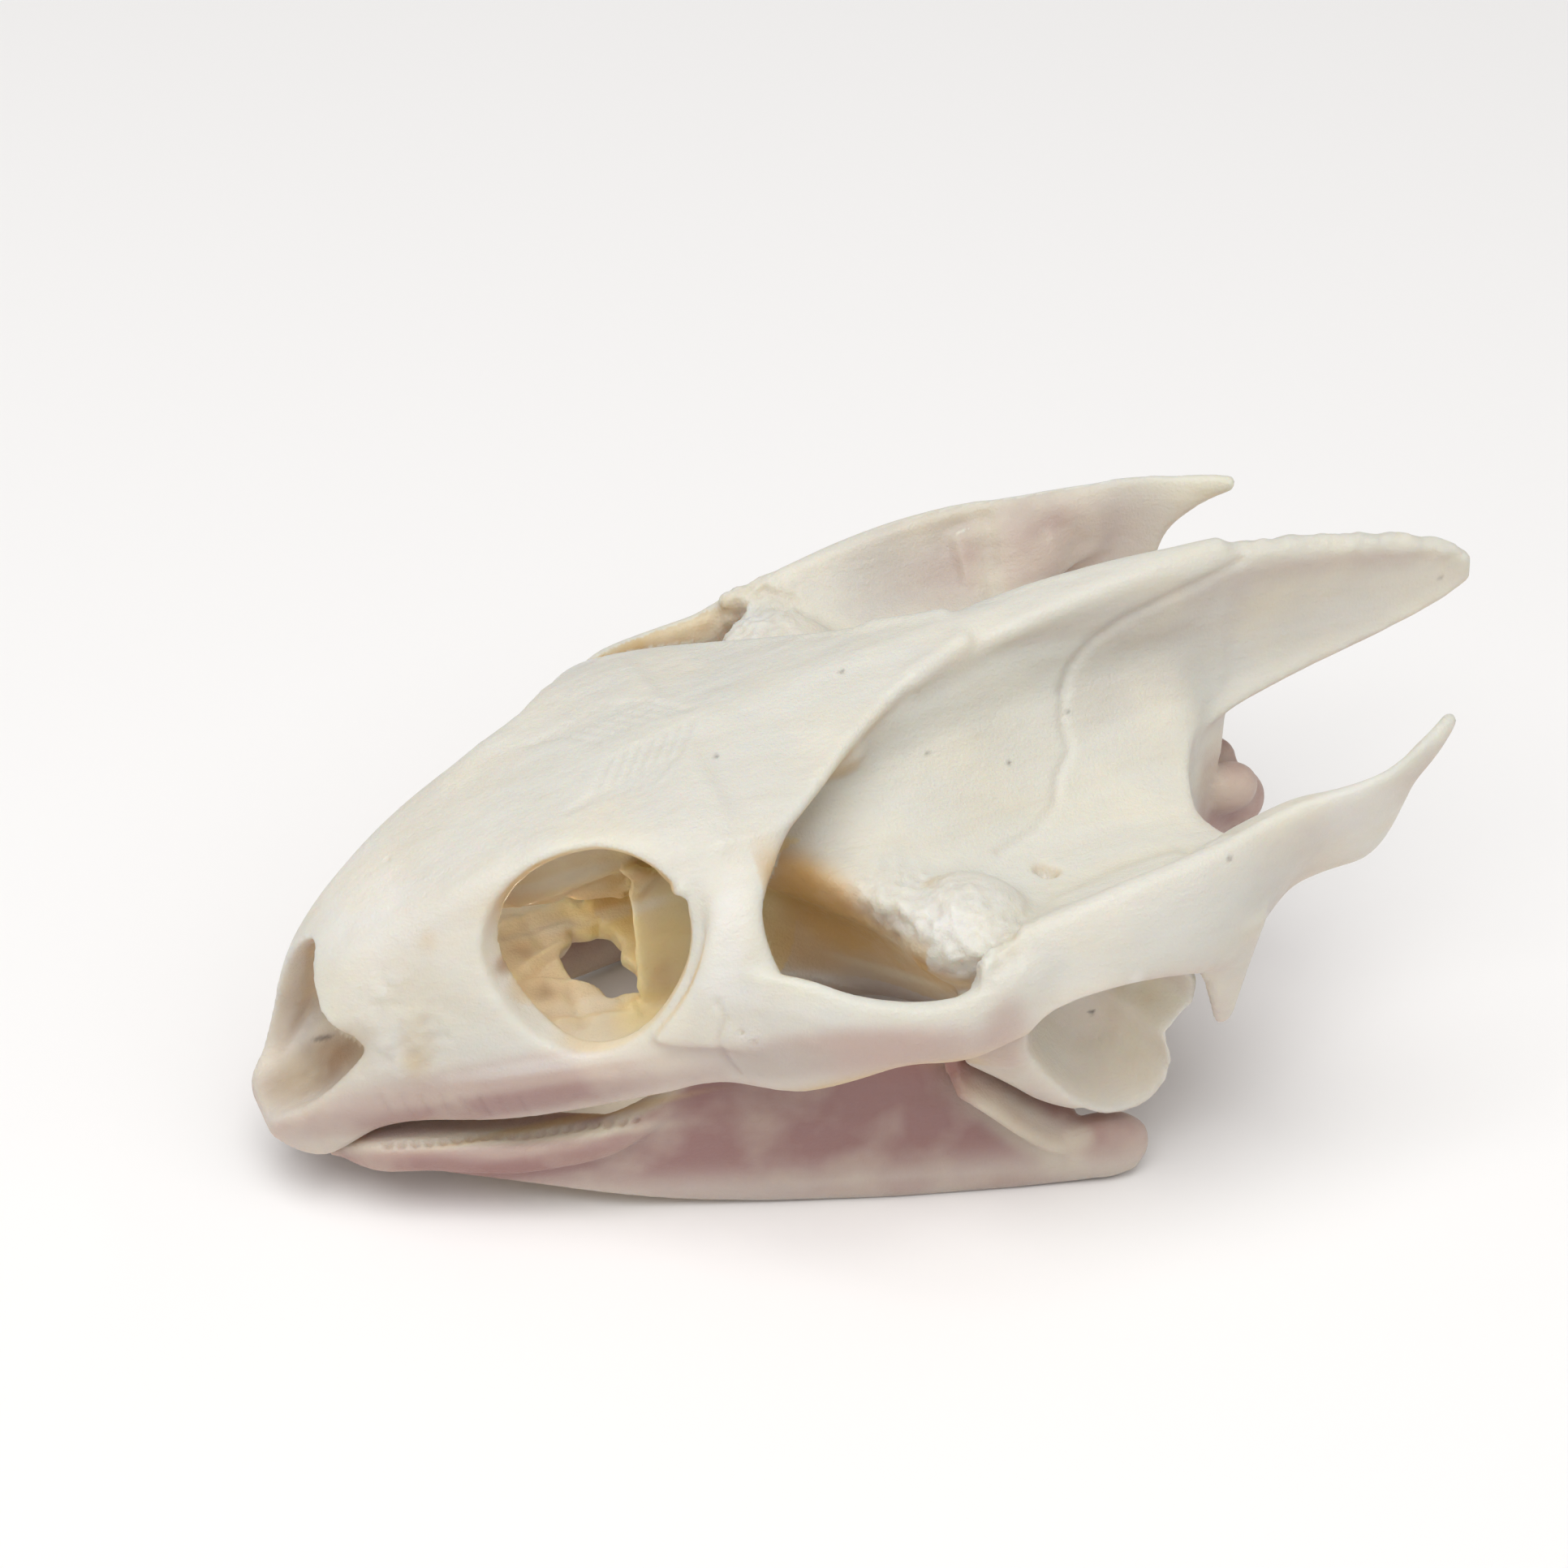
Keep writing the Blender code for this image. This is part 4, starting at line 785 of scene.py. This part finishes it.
class Surface:
    """A skin's points, which marks are pressed into and colours are laid on."""

    def __init__(self, thing, view):
        self.thing, self.view = thing, view
        self.read()
        self.open_to_view = {}
        self.tint = np.tile(np.array(WHITE_BONE), (len(self.points), 1))

    def read(self):
        """Takes the points, the normals and a tree for ray casts from the mesh."""
        data = self.thing.data
        count = len(data.vertices)
        self.points = np.empty(count * 3)
        data.vertices.foreach_get("co", self.points)
        self.points = self.points.reshape(-1, 3)
        self.normals = np.empty(count * 3)
        data.vertex_normals.foreach_get("vector", self.normals)
        self.normals = self.normals.reshape(-1, 3)
        mesh = bmesh.new()
        mesh.from_mesh(data)
        self.tree = BVHTree.FromBMesh(mesh)
        mesh.free()

    def write(self):
        """Puts the moved points back into the mesh."""
        self.thing.data.vertices.foreach_set("co", self.points.ravel())
        self.thing.data.update()
        self.read()

    def seen(self, pixel):
        """Where the camera's line through a pixel of the photograph meets the skin, or None."""
        eye = self.view.translation
        side = (pixel[0] - PHOTO / 2) / PHOTO * SENSOR
        rise = (PHOTO / 2 - pixel[1]) / PHOTO * SENSOR
        line = self.view.to_3x3() @ Vector((side, rise, -CAMERA_LENS))
        return self.tree.ray_cast(eye, line.normalized())[0]

    def laid(self, pixels, mirror=True):
        """The skin's points along a line drawn on the photograph, on this side and the far one.

        A line of one pixel gives one point, on this side only.
        """
        found = [p for p in (self.seen(px) for px in pixels) if p]
        if len(found) < 2:
            return [found] if found else []
        line = []
        for a, b in zip(found, found[1:]):
            parts = max(1, int((b - a).length / UNIT))
            for i in range(parts):
                line.append(self.tree.find_nearest(a.lerp(b, i / parts))[0])
        line.append(found[-1])
        lines = [line]
        if mirror:
            lines.append([self.tree.find_nearest(Vector((p.x, -p.y, p.z)))[0] for p in line])
        return lines

    def near_line(self, line, reach):
        """How far each point is from a line of points, in skull units, within reach of it."""
        best = np.full(len(self.points), 1e9)
        spots = np.array([tuple(p) for p in line])
        low, high = spots.min(0) - reach * UNIT, spots.max(0) + reach * UNIT
        close = np.where(((self.points > low) & (self.points < high)).all(1))[0]
        here = self.points[close]
        if len(spots) == 1:
            best[close] = np.linalg.norm(here - spots[0], axis=1) / UNIT
            return best
        for a, b in zip(spots, spots[1:]):
            along = b - a
            t = np.clip(((here - a) @ along) / max(along @ along, 1e-18), 0, 1)
            away = np.linalg.norm(here - a - t[:, None] * along, axis=1) / UNIT
            best[close] = np.minimum(best[close], away)
        return best

    def press(self, lines, width, depth):
        """A groove along each line, or a ridge where depth is below nothing."""
        for line in lines:
            away = self.near_line(line, width * 3)
            fall = np.exp(-((away / width) ** 2)) * (away < width * 3)
            self.points -= self.normals * (fall * depth * UNIT)[:, None]

    def colour_mark(self, lines, width, colour, strength):
        """A soft band of colour along each line."""
        for line in lines:
            away = self.near_line(line, width * 3)
            fall = np.exp(-((away / width) ** 2)) * (away < width * 3) * strength
            self.blend(fall, colour)

    def on_photo(self, flip):
        """Where each point, or its twin on the other side, falls on the photograph."""
        spots = self.points * (1, flip, 1) - np.array(self.view.translation)
        local = spots @ np.array(self.view.to_3x3())
        scale = CAMERA_LENS / SENSOR * PHOTO / -local[:, 2]
        return PHOTO / 2 + local[:, 0] * scale, PHOTO / 2 - local[:, 1] * scale

    def in_view(self, i, flip):
        """Whether nothing stands between the camera and a point, or its twin."""
        known = self.open_to_view.setdefault(flip, {})
        if i not in known:
            mirror = Vector((1, flip, 1))
            spot = Vector(self.points[i]) * mirror + Vector(self.normals[i]) * mirror * (OFF_THE_SKIN * UNIT)
            way = (self.view.translation - spot).normalized()
            known[i] = self.tree.ray_cast(spot + way * (ON_THE_WAY * UNIT), way)[0] is None
        return known[i]

    def patch(self, centre, size, turn, colour, strength, where, mirror=True):
        """A soft-edged patch of colour (stain, painted shade and painted light), as an oval on the
        photograph, on what is seen there and on its twin.

        where gives the points that may take it, for the near side (1) and for the far one (-1).
        """
        tilt = math.radians(turn)
        for flip in (1, -1) if mirror else (1,):
            x, y = self.on_photo(flip)
            x, y = x - centre[0], y - centre[1]
            along = (x * math.cos(tilt) + y * math.sin(tilt)) / size[0]
            across = (y * math.cos(tilt) - x * math.sin(tilt)) / size[1]
            away = along * along + across * across
            amount = np.zeros(len(away))
            for i in np.where((away < PATCH_REACH) & where(flip))[0]:
                if self.in_view(int(i), flip):
                    amount[i] = math.exp(-away[i] ** 2) * strength
            self.blend(amount, colour)

    def blend(self, amount, colour):
        """Mixes a colour over the tint, by an amount for each point."""
        amount = np.clip(amount, 0, 1)[:, None]
        self.tint = self.tint * (1 - amount) + np.array(colour) * amount

    def rough(self, lines, width, height, grain):
        """Small lumps round each line, a grain apart."""
        for line in lines:
            away = self.near_line(line, width * 2)
            for i in np.where(away < width * 1.8)[0]:
                spot = Vector(self.points[i]) / (grain * UNIT)
                lift = noise.noise(spot) + 0.5 * noise.noise(spot * 2.3)
                fall = math.exp(-((away[i] / width) ** 4))
                self.points[i] += self.normals[i] * (lift * height * fall * UNIT)

    def paint(self):
        """Writes the tint as a colour of the mesh, which its material reads."""
        layer = self.thing.data.color_attributes.new("tint", "FLOAT_COLOR", "POINT")
        full = np.ones((len(self.tint), 4))
        full[:, :3] = self.tint * TONE
        layer.data.foreach_set("color", full.ravel())


def units_of(points, shift):
    """Points in metres as columns of back, out and up in skull units."""
    moved = (points - np.array(shift)) / UNIT
    return SKULL_MIDDLE - moved[:, 0], moved[:, 1], moved[:, 2]


def ramp(value, low, high):
    """From 0 at low to 1 at high, eased at both ends."""
    t = np.clip((value - low) / (high - low), 0, 1)
    return t * t * (3 - 2 * t)


def finish_cranium(skin, shift, view):
    """The skull's seams, rough places and colours, with painted shade, painted pink reflection and painted
    light among the colours.
    """
    skull = Surface(skin, view)
    for line, width, depth in GROOVES:
        skull.press(skull.laid(line), width, depth)
    skull.press(skull.laid([EAR_HOLE, (EAR_HOLE[0] + 8, EAR_HOLE[1] + 4)]), 0.7, 1.6)
    for hole in PINHOLES:
        skull.press(skull.laid([hole]), 0.3, 0.35)
    skull.rough(skull.laid(KNOBBLY), 6, 0.5, 1.4)
    skull.rough(skull.laid(SNOUT_ROUGH), 4, 0.35, 2.2)
    skull.rough(skull.laid(CREST_EDGE, mirror=False), 2.2, 0.45, 3)
    for fold in SOCKET_FOLDS:
        skull.press(skull.laid(fold), 0.7, -0.5)
        skull.press(skull.laid([(x + 3, y + 14) for x, y in fold]), 0.7, 0.4)
    for hollow in FAR_HOLLOWS:
        skull.press(skull.laid([hollow]), 2.4, 0.7)
    for streak in ROOF_STREAKS:
        skull.press(skull.laid(streak), 0.4, 0.22)
    for streak in BEAK_STREAKS:
        skull.press(skull.laid(streak), 0.3, 0.15)
    colour_cranium(skull, shift)
    skull.write()
    skull.paint()


def colour_cranium(skull, shift):
    """Lays the broad tones on the bone first, with painted pink shade and reflection on its low and
    down-facing faces, and then the patches over them.
    """
    back, out, up = units_of(skull.points, shift)
    normals = skull.normals
    down = -normals[:, 2]
    to_middle = np.stack([np.zeros_like(out), -out, MIDDLE_UP - up], axis=1)
    to_middle /= np.linalg.norm(to_middle, axis=1)[:, None] + 1e-9
    facing = (normals * to_middle).sum(1)
    room = ramp(facing, -0.1, 0.35) * ramp(back, 8, 16) * (1 - ramp(back, 62, 68)) * (abs(out) < 30)
    # Painted pink shade and reflection on the down-facing outer faces.
    skull.blend(ramp(down, -0.3, 0.6) * (1 - room) * 0.6, BLUSH_SHADE)
    skull.blend(room * 0.85, TAN)
    skull.blend(room * ramp(up, 24, 34) * 0.85, OCHRE)
    wall = ramp(down, 0.0, 0.6) * ramp(back, 44, 50) * (1 - ramp(back, 64, 72)) * (up > 20)
    skull.blend(wall * 0.8, OCHRE)
    ceiling = ramp(down, 0.0, 0.4) * (back > 17) * (back < 50) * (up > 32) * (abs(out) < 18)
    skull.blend(ceiling * 0.9, OCHRE)
    behind = ramp(back, 36.5, 38.5) * (1 - ramp(back, 52, 58)) * (abs(out) < 11) * (up > 15) * (up < 36)
    skull.blend(behind * 0.9, STRAW)
    # Painted pink reflection on the low knob at the back of the neck.
    knob = ramp(back, 101, 103) * (1 - ramp(up, 28, 32)) * (abs(out) < 10)
    skull.blend(knob * 0.95, ROSE_REFLECTION)
    # Painted pink reflection on the lower parts of the skull, fading out above them.
    skull.blend((1 - ramp(up, 12, 24)) * 0.2, ROSE_REFLECTION)
    socket, temple = (back > 16) & (back < 52), back > 47
    # Tones of the eye room, tones of the temple with painted deep shadow in its gap, and tones of the outer
    # faces with painted pink shade and painted light.
    for patch_group, where in ((SOCKET_TONES, lambda flip: socket & (out * flip < 13.5)),
                          (TEMPLE_TONES_AND_SHADOW, lambda flip: temple & (out * flip < 28)),
                          (OUTER_TONES_SHADE_AND_LIGHT, lambda flip: room < 0.6)):
        for colour_mark in patch_group:
            skull.patch(*colour_mark, where=where)
    # Painted shade and pink reflection on the far side's inward faces.
    for colour_mark in FAR_SIDE_SHADE_AND_REFLECTION:
        skull.patch(*colour_mark, where=lambda flip: (out < -13) & (normals[:, 1] > 0.1), mirror=False)
    # Painted shade deep in the nose, with tones of its walls.
    for colour_mark in NOSE_TONES_AND_SHADE:
        skull.patch(*colour_mark, where=lambda flip: back < 24, mirror=False)
    skull.colour_mark(skull.laid(EAR_GROOVE), 1.6, IVORY, 0.6)
    skull.colour_mark(skull.laid([EAR_HOLE, (EAR_HOLE[0] + 10, EAR_HOLE[1] + 4)]), 0.8, HONEY, 0.9)
    for spot in SNOUT_SPOTS:
        skull.colour_mark(skull.laid([spot]), 1.0, OCHRE, 0.35)
    for speck in SPECKS:
        skull.colour_mark(skull.laid([speck]), 0.25, DUST_AND_GAP_SHADOW, 0.7)


def finish_jaw(skin, shift, view):
    """The lower jaw's pits and colours, which are mostly painted pink reflection and painted shade."""
    jaw = Surface(skin, view)
    for pit in RIM_PITS:
        jaw.press(jaw.laid([pit]), 0.45, 0.6)
    back, out, up = units_of(jaw.points, shift)
    # Painted pink reflection over the whole jaw, a little stronger above its bottom edge.
    jaw.blend(0.55 + 0.25 * ramp(up, 2, 7), ROSE_REFLECTION)
    # Painted shade under the cheek, above the jaw's bottom edge from its front third back, halved towards the
    # joint.
    jaw.blend(0.9 * ramp(up, 3, 8) * ramp(back, 24, 38) * (1 - 0.5 * ramp(back, 78, 84)), DEEP_ROSE_SHADE)
    # Painted shade and pink reflection, with the lit rims painted pale.
    for colour_mark in JAW_PAINTED_LIGHT_AND_SHADE:
        jaw.patch(*colour_mark, where=lambda flip: up > -1)
    # Painted shade in the pits of the rim.
    for pit in RIM_PITS:
        jaw.colour_mark(jaw.laid([pit]), 0.4, DEEP_ROSE_SHADE, 0.6)
    jaw.write()
    jaw.paint()


# How light enters the bone and leaves it.
BONE_DEPTH = {"Specular IOR Level": 0.4, "Subsurface Weight": 0.5, "Subsurface Radius": (1.0, 0.62, 0.34),
              "Subsurface Scale": 0.004}


def bone_material(name, warmth):
    """Dry cleaned bone: a painted tint that also holds painted shade, pink reflection and light, cloudy
    patches, fine streaks and pores.
    """
    made = bpy.data.materials.new(name)
    made.use_nodes = True
    nodes, links = made.node_tree.nodes, made.node_tree.links
    shader = nodes["Principled BSDF"]
    place = nodes.new("ShaderNodeTexCoord")
    tint = nodes.new("ShaderNodeVertexColor")
    tint.layer_name = "tint"

    def cloud(scale, detail, stretch=(1, 1, 1)):
        spread = nodes.new("ShaderNodeMapping")
        spread.inputs["Scale"].default_value = stretch
        links.new(place.outputs["Object"], spread.inputs["Vector"])
        pattern = nodes.new("ShaderNodeTexNoise")
        pattern.inputs["Scale"].default_value = scale
        pattern.inputs["Detail"].default_value = detail
        links.new(spread.outputs["Vector"], pattern.inputs["Vector"])
        return pattern.outputs["Fac"]

    def spread_of(value, low, high, out_low, out_high):
        bend = nodes.new("ShaderNodeMapRange")
        for key, number in zip(("From Min", "From Max", "To Min", "To Max"), (low, high, out_low, out_high)):
            bend.inputs[key].default_value = number
        links.new(value, bend.inputs["Value"])
        return bend.outputs["Result"]

    def mixed(first, second, amount, blend="MIX"):
        mix = nodes.new("ShaderNodeMix")
        mix.data_type = "RGBA"
        mix.blend_type = blend
        for key, value in ((6, first), (7, second), (0, amount)):
            if hasattr(value, "is_linked"):
                links.new(value, mix.inputs[key])
            else:
                mix.inputs[key].default_value = value
        return mix.outputs[2]

    def relief(height, distance, strength, below=None):
        bump = nodes.new("ShaderNodeBump")
        bump.inputs["Distance"].default_value = distance
        bump.inputs["Strength"].default_value = strength
        links.new(height, bump.inputs["Height"])
        if below:
            links.new(below, bump.inputs["Normal"])
        return bump.outputs["Normal"]

    patches = spread_of(cloud(130, 3), 0.45, 0.72, 0, warmth)
    streaks = spread_of(cloud(420, 4, (0.25, 1, 1)), 0.42, 0.7, 0, 0.35)
    colour = mixed(tint.outputs["Color"], (*IVORY, 1), patches)
    colour = mixed(colour, (*STREAKED, 1), streaks, "MULTIPLY")
    links.new(colour, shader.inputs["Base Color"])
    links.new(spread_of(cloud(900, 2), 0.3, 0.7, 0.38, 0.58), shader.inputs["Roughness"])
    for key, value in BONE_DEPTH.items():
        shader.inputs[key].default_value = value
    coarse = relief(cloud(700, 5, (0.4, 1, 1)), 0.0004, 0.5)
    fine = relief(cloud(3800, 3), 0.00012, 0.6, coarse)
    links.new(fine, shader.inputs["Normal"])
    return made


# The floor, the lights as (name, place, size, power, colour), and the glow inside as (name, place
# in skull units, power).
FLOOR_WIDE = 4
FLOOR_LOW = -0.0002
FLOOR_COLOUR = (0.95, 0.94, 0.937)
SKY_COLOUR = (1.0, 0.99, 0.98)
SKY_STRENGTH = 0.3
LIGHTS = (("window", (0.3, 0.22, 0.95), 0.9, 8.4, (1.0, 0.995, 0.985)),
          ("ceiling", (-0.2, 0.5, 0.8), 0.8, 1.84, (1.0, 1.0, 1.0)))
GLOWS = (("socket_glow", (30, 0, 29), 0.0052), ("mouth_glow", (40, 0, 7), 0.0005))
GLOW_COLOUR = (1.0, 0.9, 0.72)
GLOW_SIZE = 4 * UNIT


def floor():
    bpy.ops.mesh.primitive_plane_add(size=FLOOR_WIDE)
    made = bpy.context.object
    made.name = "floor"
    made.location.z = FLOOR_LOW
    paint = bpy.data.materials.new("floor")
    paint.use_nodes = True
    shader = paint.node_tree.nodes["Principled BSDF"]
    shader.inputs["Base Color"].default_value = (*FLOOR_COLOUR, 1)
    shader.inputs["Roughness"].default_value = 0.9
    made.data.materials.append(paint)


def soft_light(name, place, size, power, colour):
    """A square lamp that looks at the middle of the floor."""
    lamp = bpy.data.lights.new(name, "AREA")
    lamp.size = size
    lamp.energy = power
    lamp.color = colour
    holder = linked(name, lamp)
    holder.location = place
    holder.rotation_euler = (-Vector(place)).to_track_quat("-Z", "Y").to_euler()


def daylight():
    world = bpy.data.worlds.new("room")
    bpy.context.scene.world = world
    world.use_nodes = True
    sky = world.node_tree.nodes["Background"]
    sky.inputs["Color"].default_value = (*SKY_COLOUR, 1)
    sky.inputs["Strength"].default_value = SKY_STRENGTH
    for light in LIGHTS:
        soft_light(*light)
    bpy.context.scene.view_settings.view_transform = "Standard"


def glow(name, place, power, shift):
    """The light that thin bone lets through into the rooms inside it."""
    lamp = bpy.data.lights.new(name, "POINT")
    lamp.shadow_soft_size = GLOW_SIZE
    lamp.energy = power
    lamp.color = GLOW_COLOUR
    linked(name, lamp).location = at(*place) + shift


def photo_camera(view):
    eye = bpy.data.cameras.new("photo_view")
    eye.lens = CAMERA_LENS
    eye.sensor_width = SENSOR
    eye.clip_start = 0.01
    holder = linked("photo_view", eye)
    holder.matrix_world = view
    bpy.context.scene.camera = holder


def main():
    skull = largest(cranium())
    jaw = largest(carved(lower_jaw(), [prism("under_flats", *UNDER_FLATS)]))
    shift = settled([skull, jaw])
    view = camera_matrix(shift)
    finish_cranium(skull, shift, view)
    finish_jaw(jaw, shift, view)
    skull.name, jaw.name = "skull_bones", "jaw_bone"
    for thing, warmth in ((skull, 0.5), (jaw, 0.35)):
        thing.data.materials.clear()
        thing.data.materials.append(bone_material(thing.name, warmth))
        thing.data.shade_smooth()
        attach(thing, "root")
    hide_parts("snout", "eye_region", "cheek_bar_left", "cheek_bar_right", "braincase",
                "supraoccipital_crest", "squamosal_left", "squamosal_right", "quadrate_left",
                "quadrate_right", "occipital_condyle")
    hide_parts("lower_jaw", "jaw_joint_left", "jaw_joint_right")
    floor()
    daylight()
    for name, place, power in GLOWS:
        glow(name, place, power, shift)
    photo_camera(view)


main()
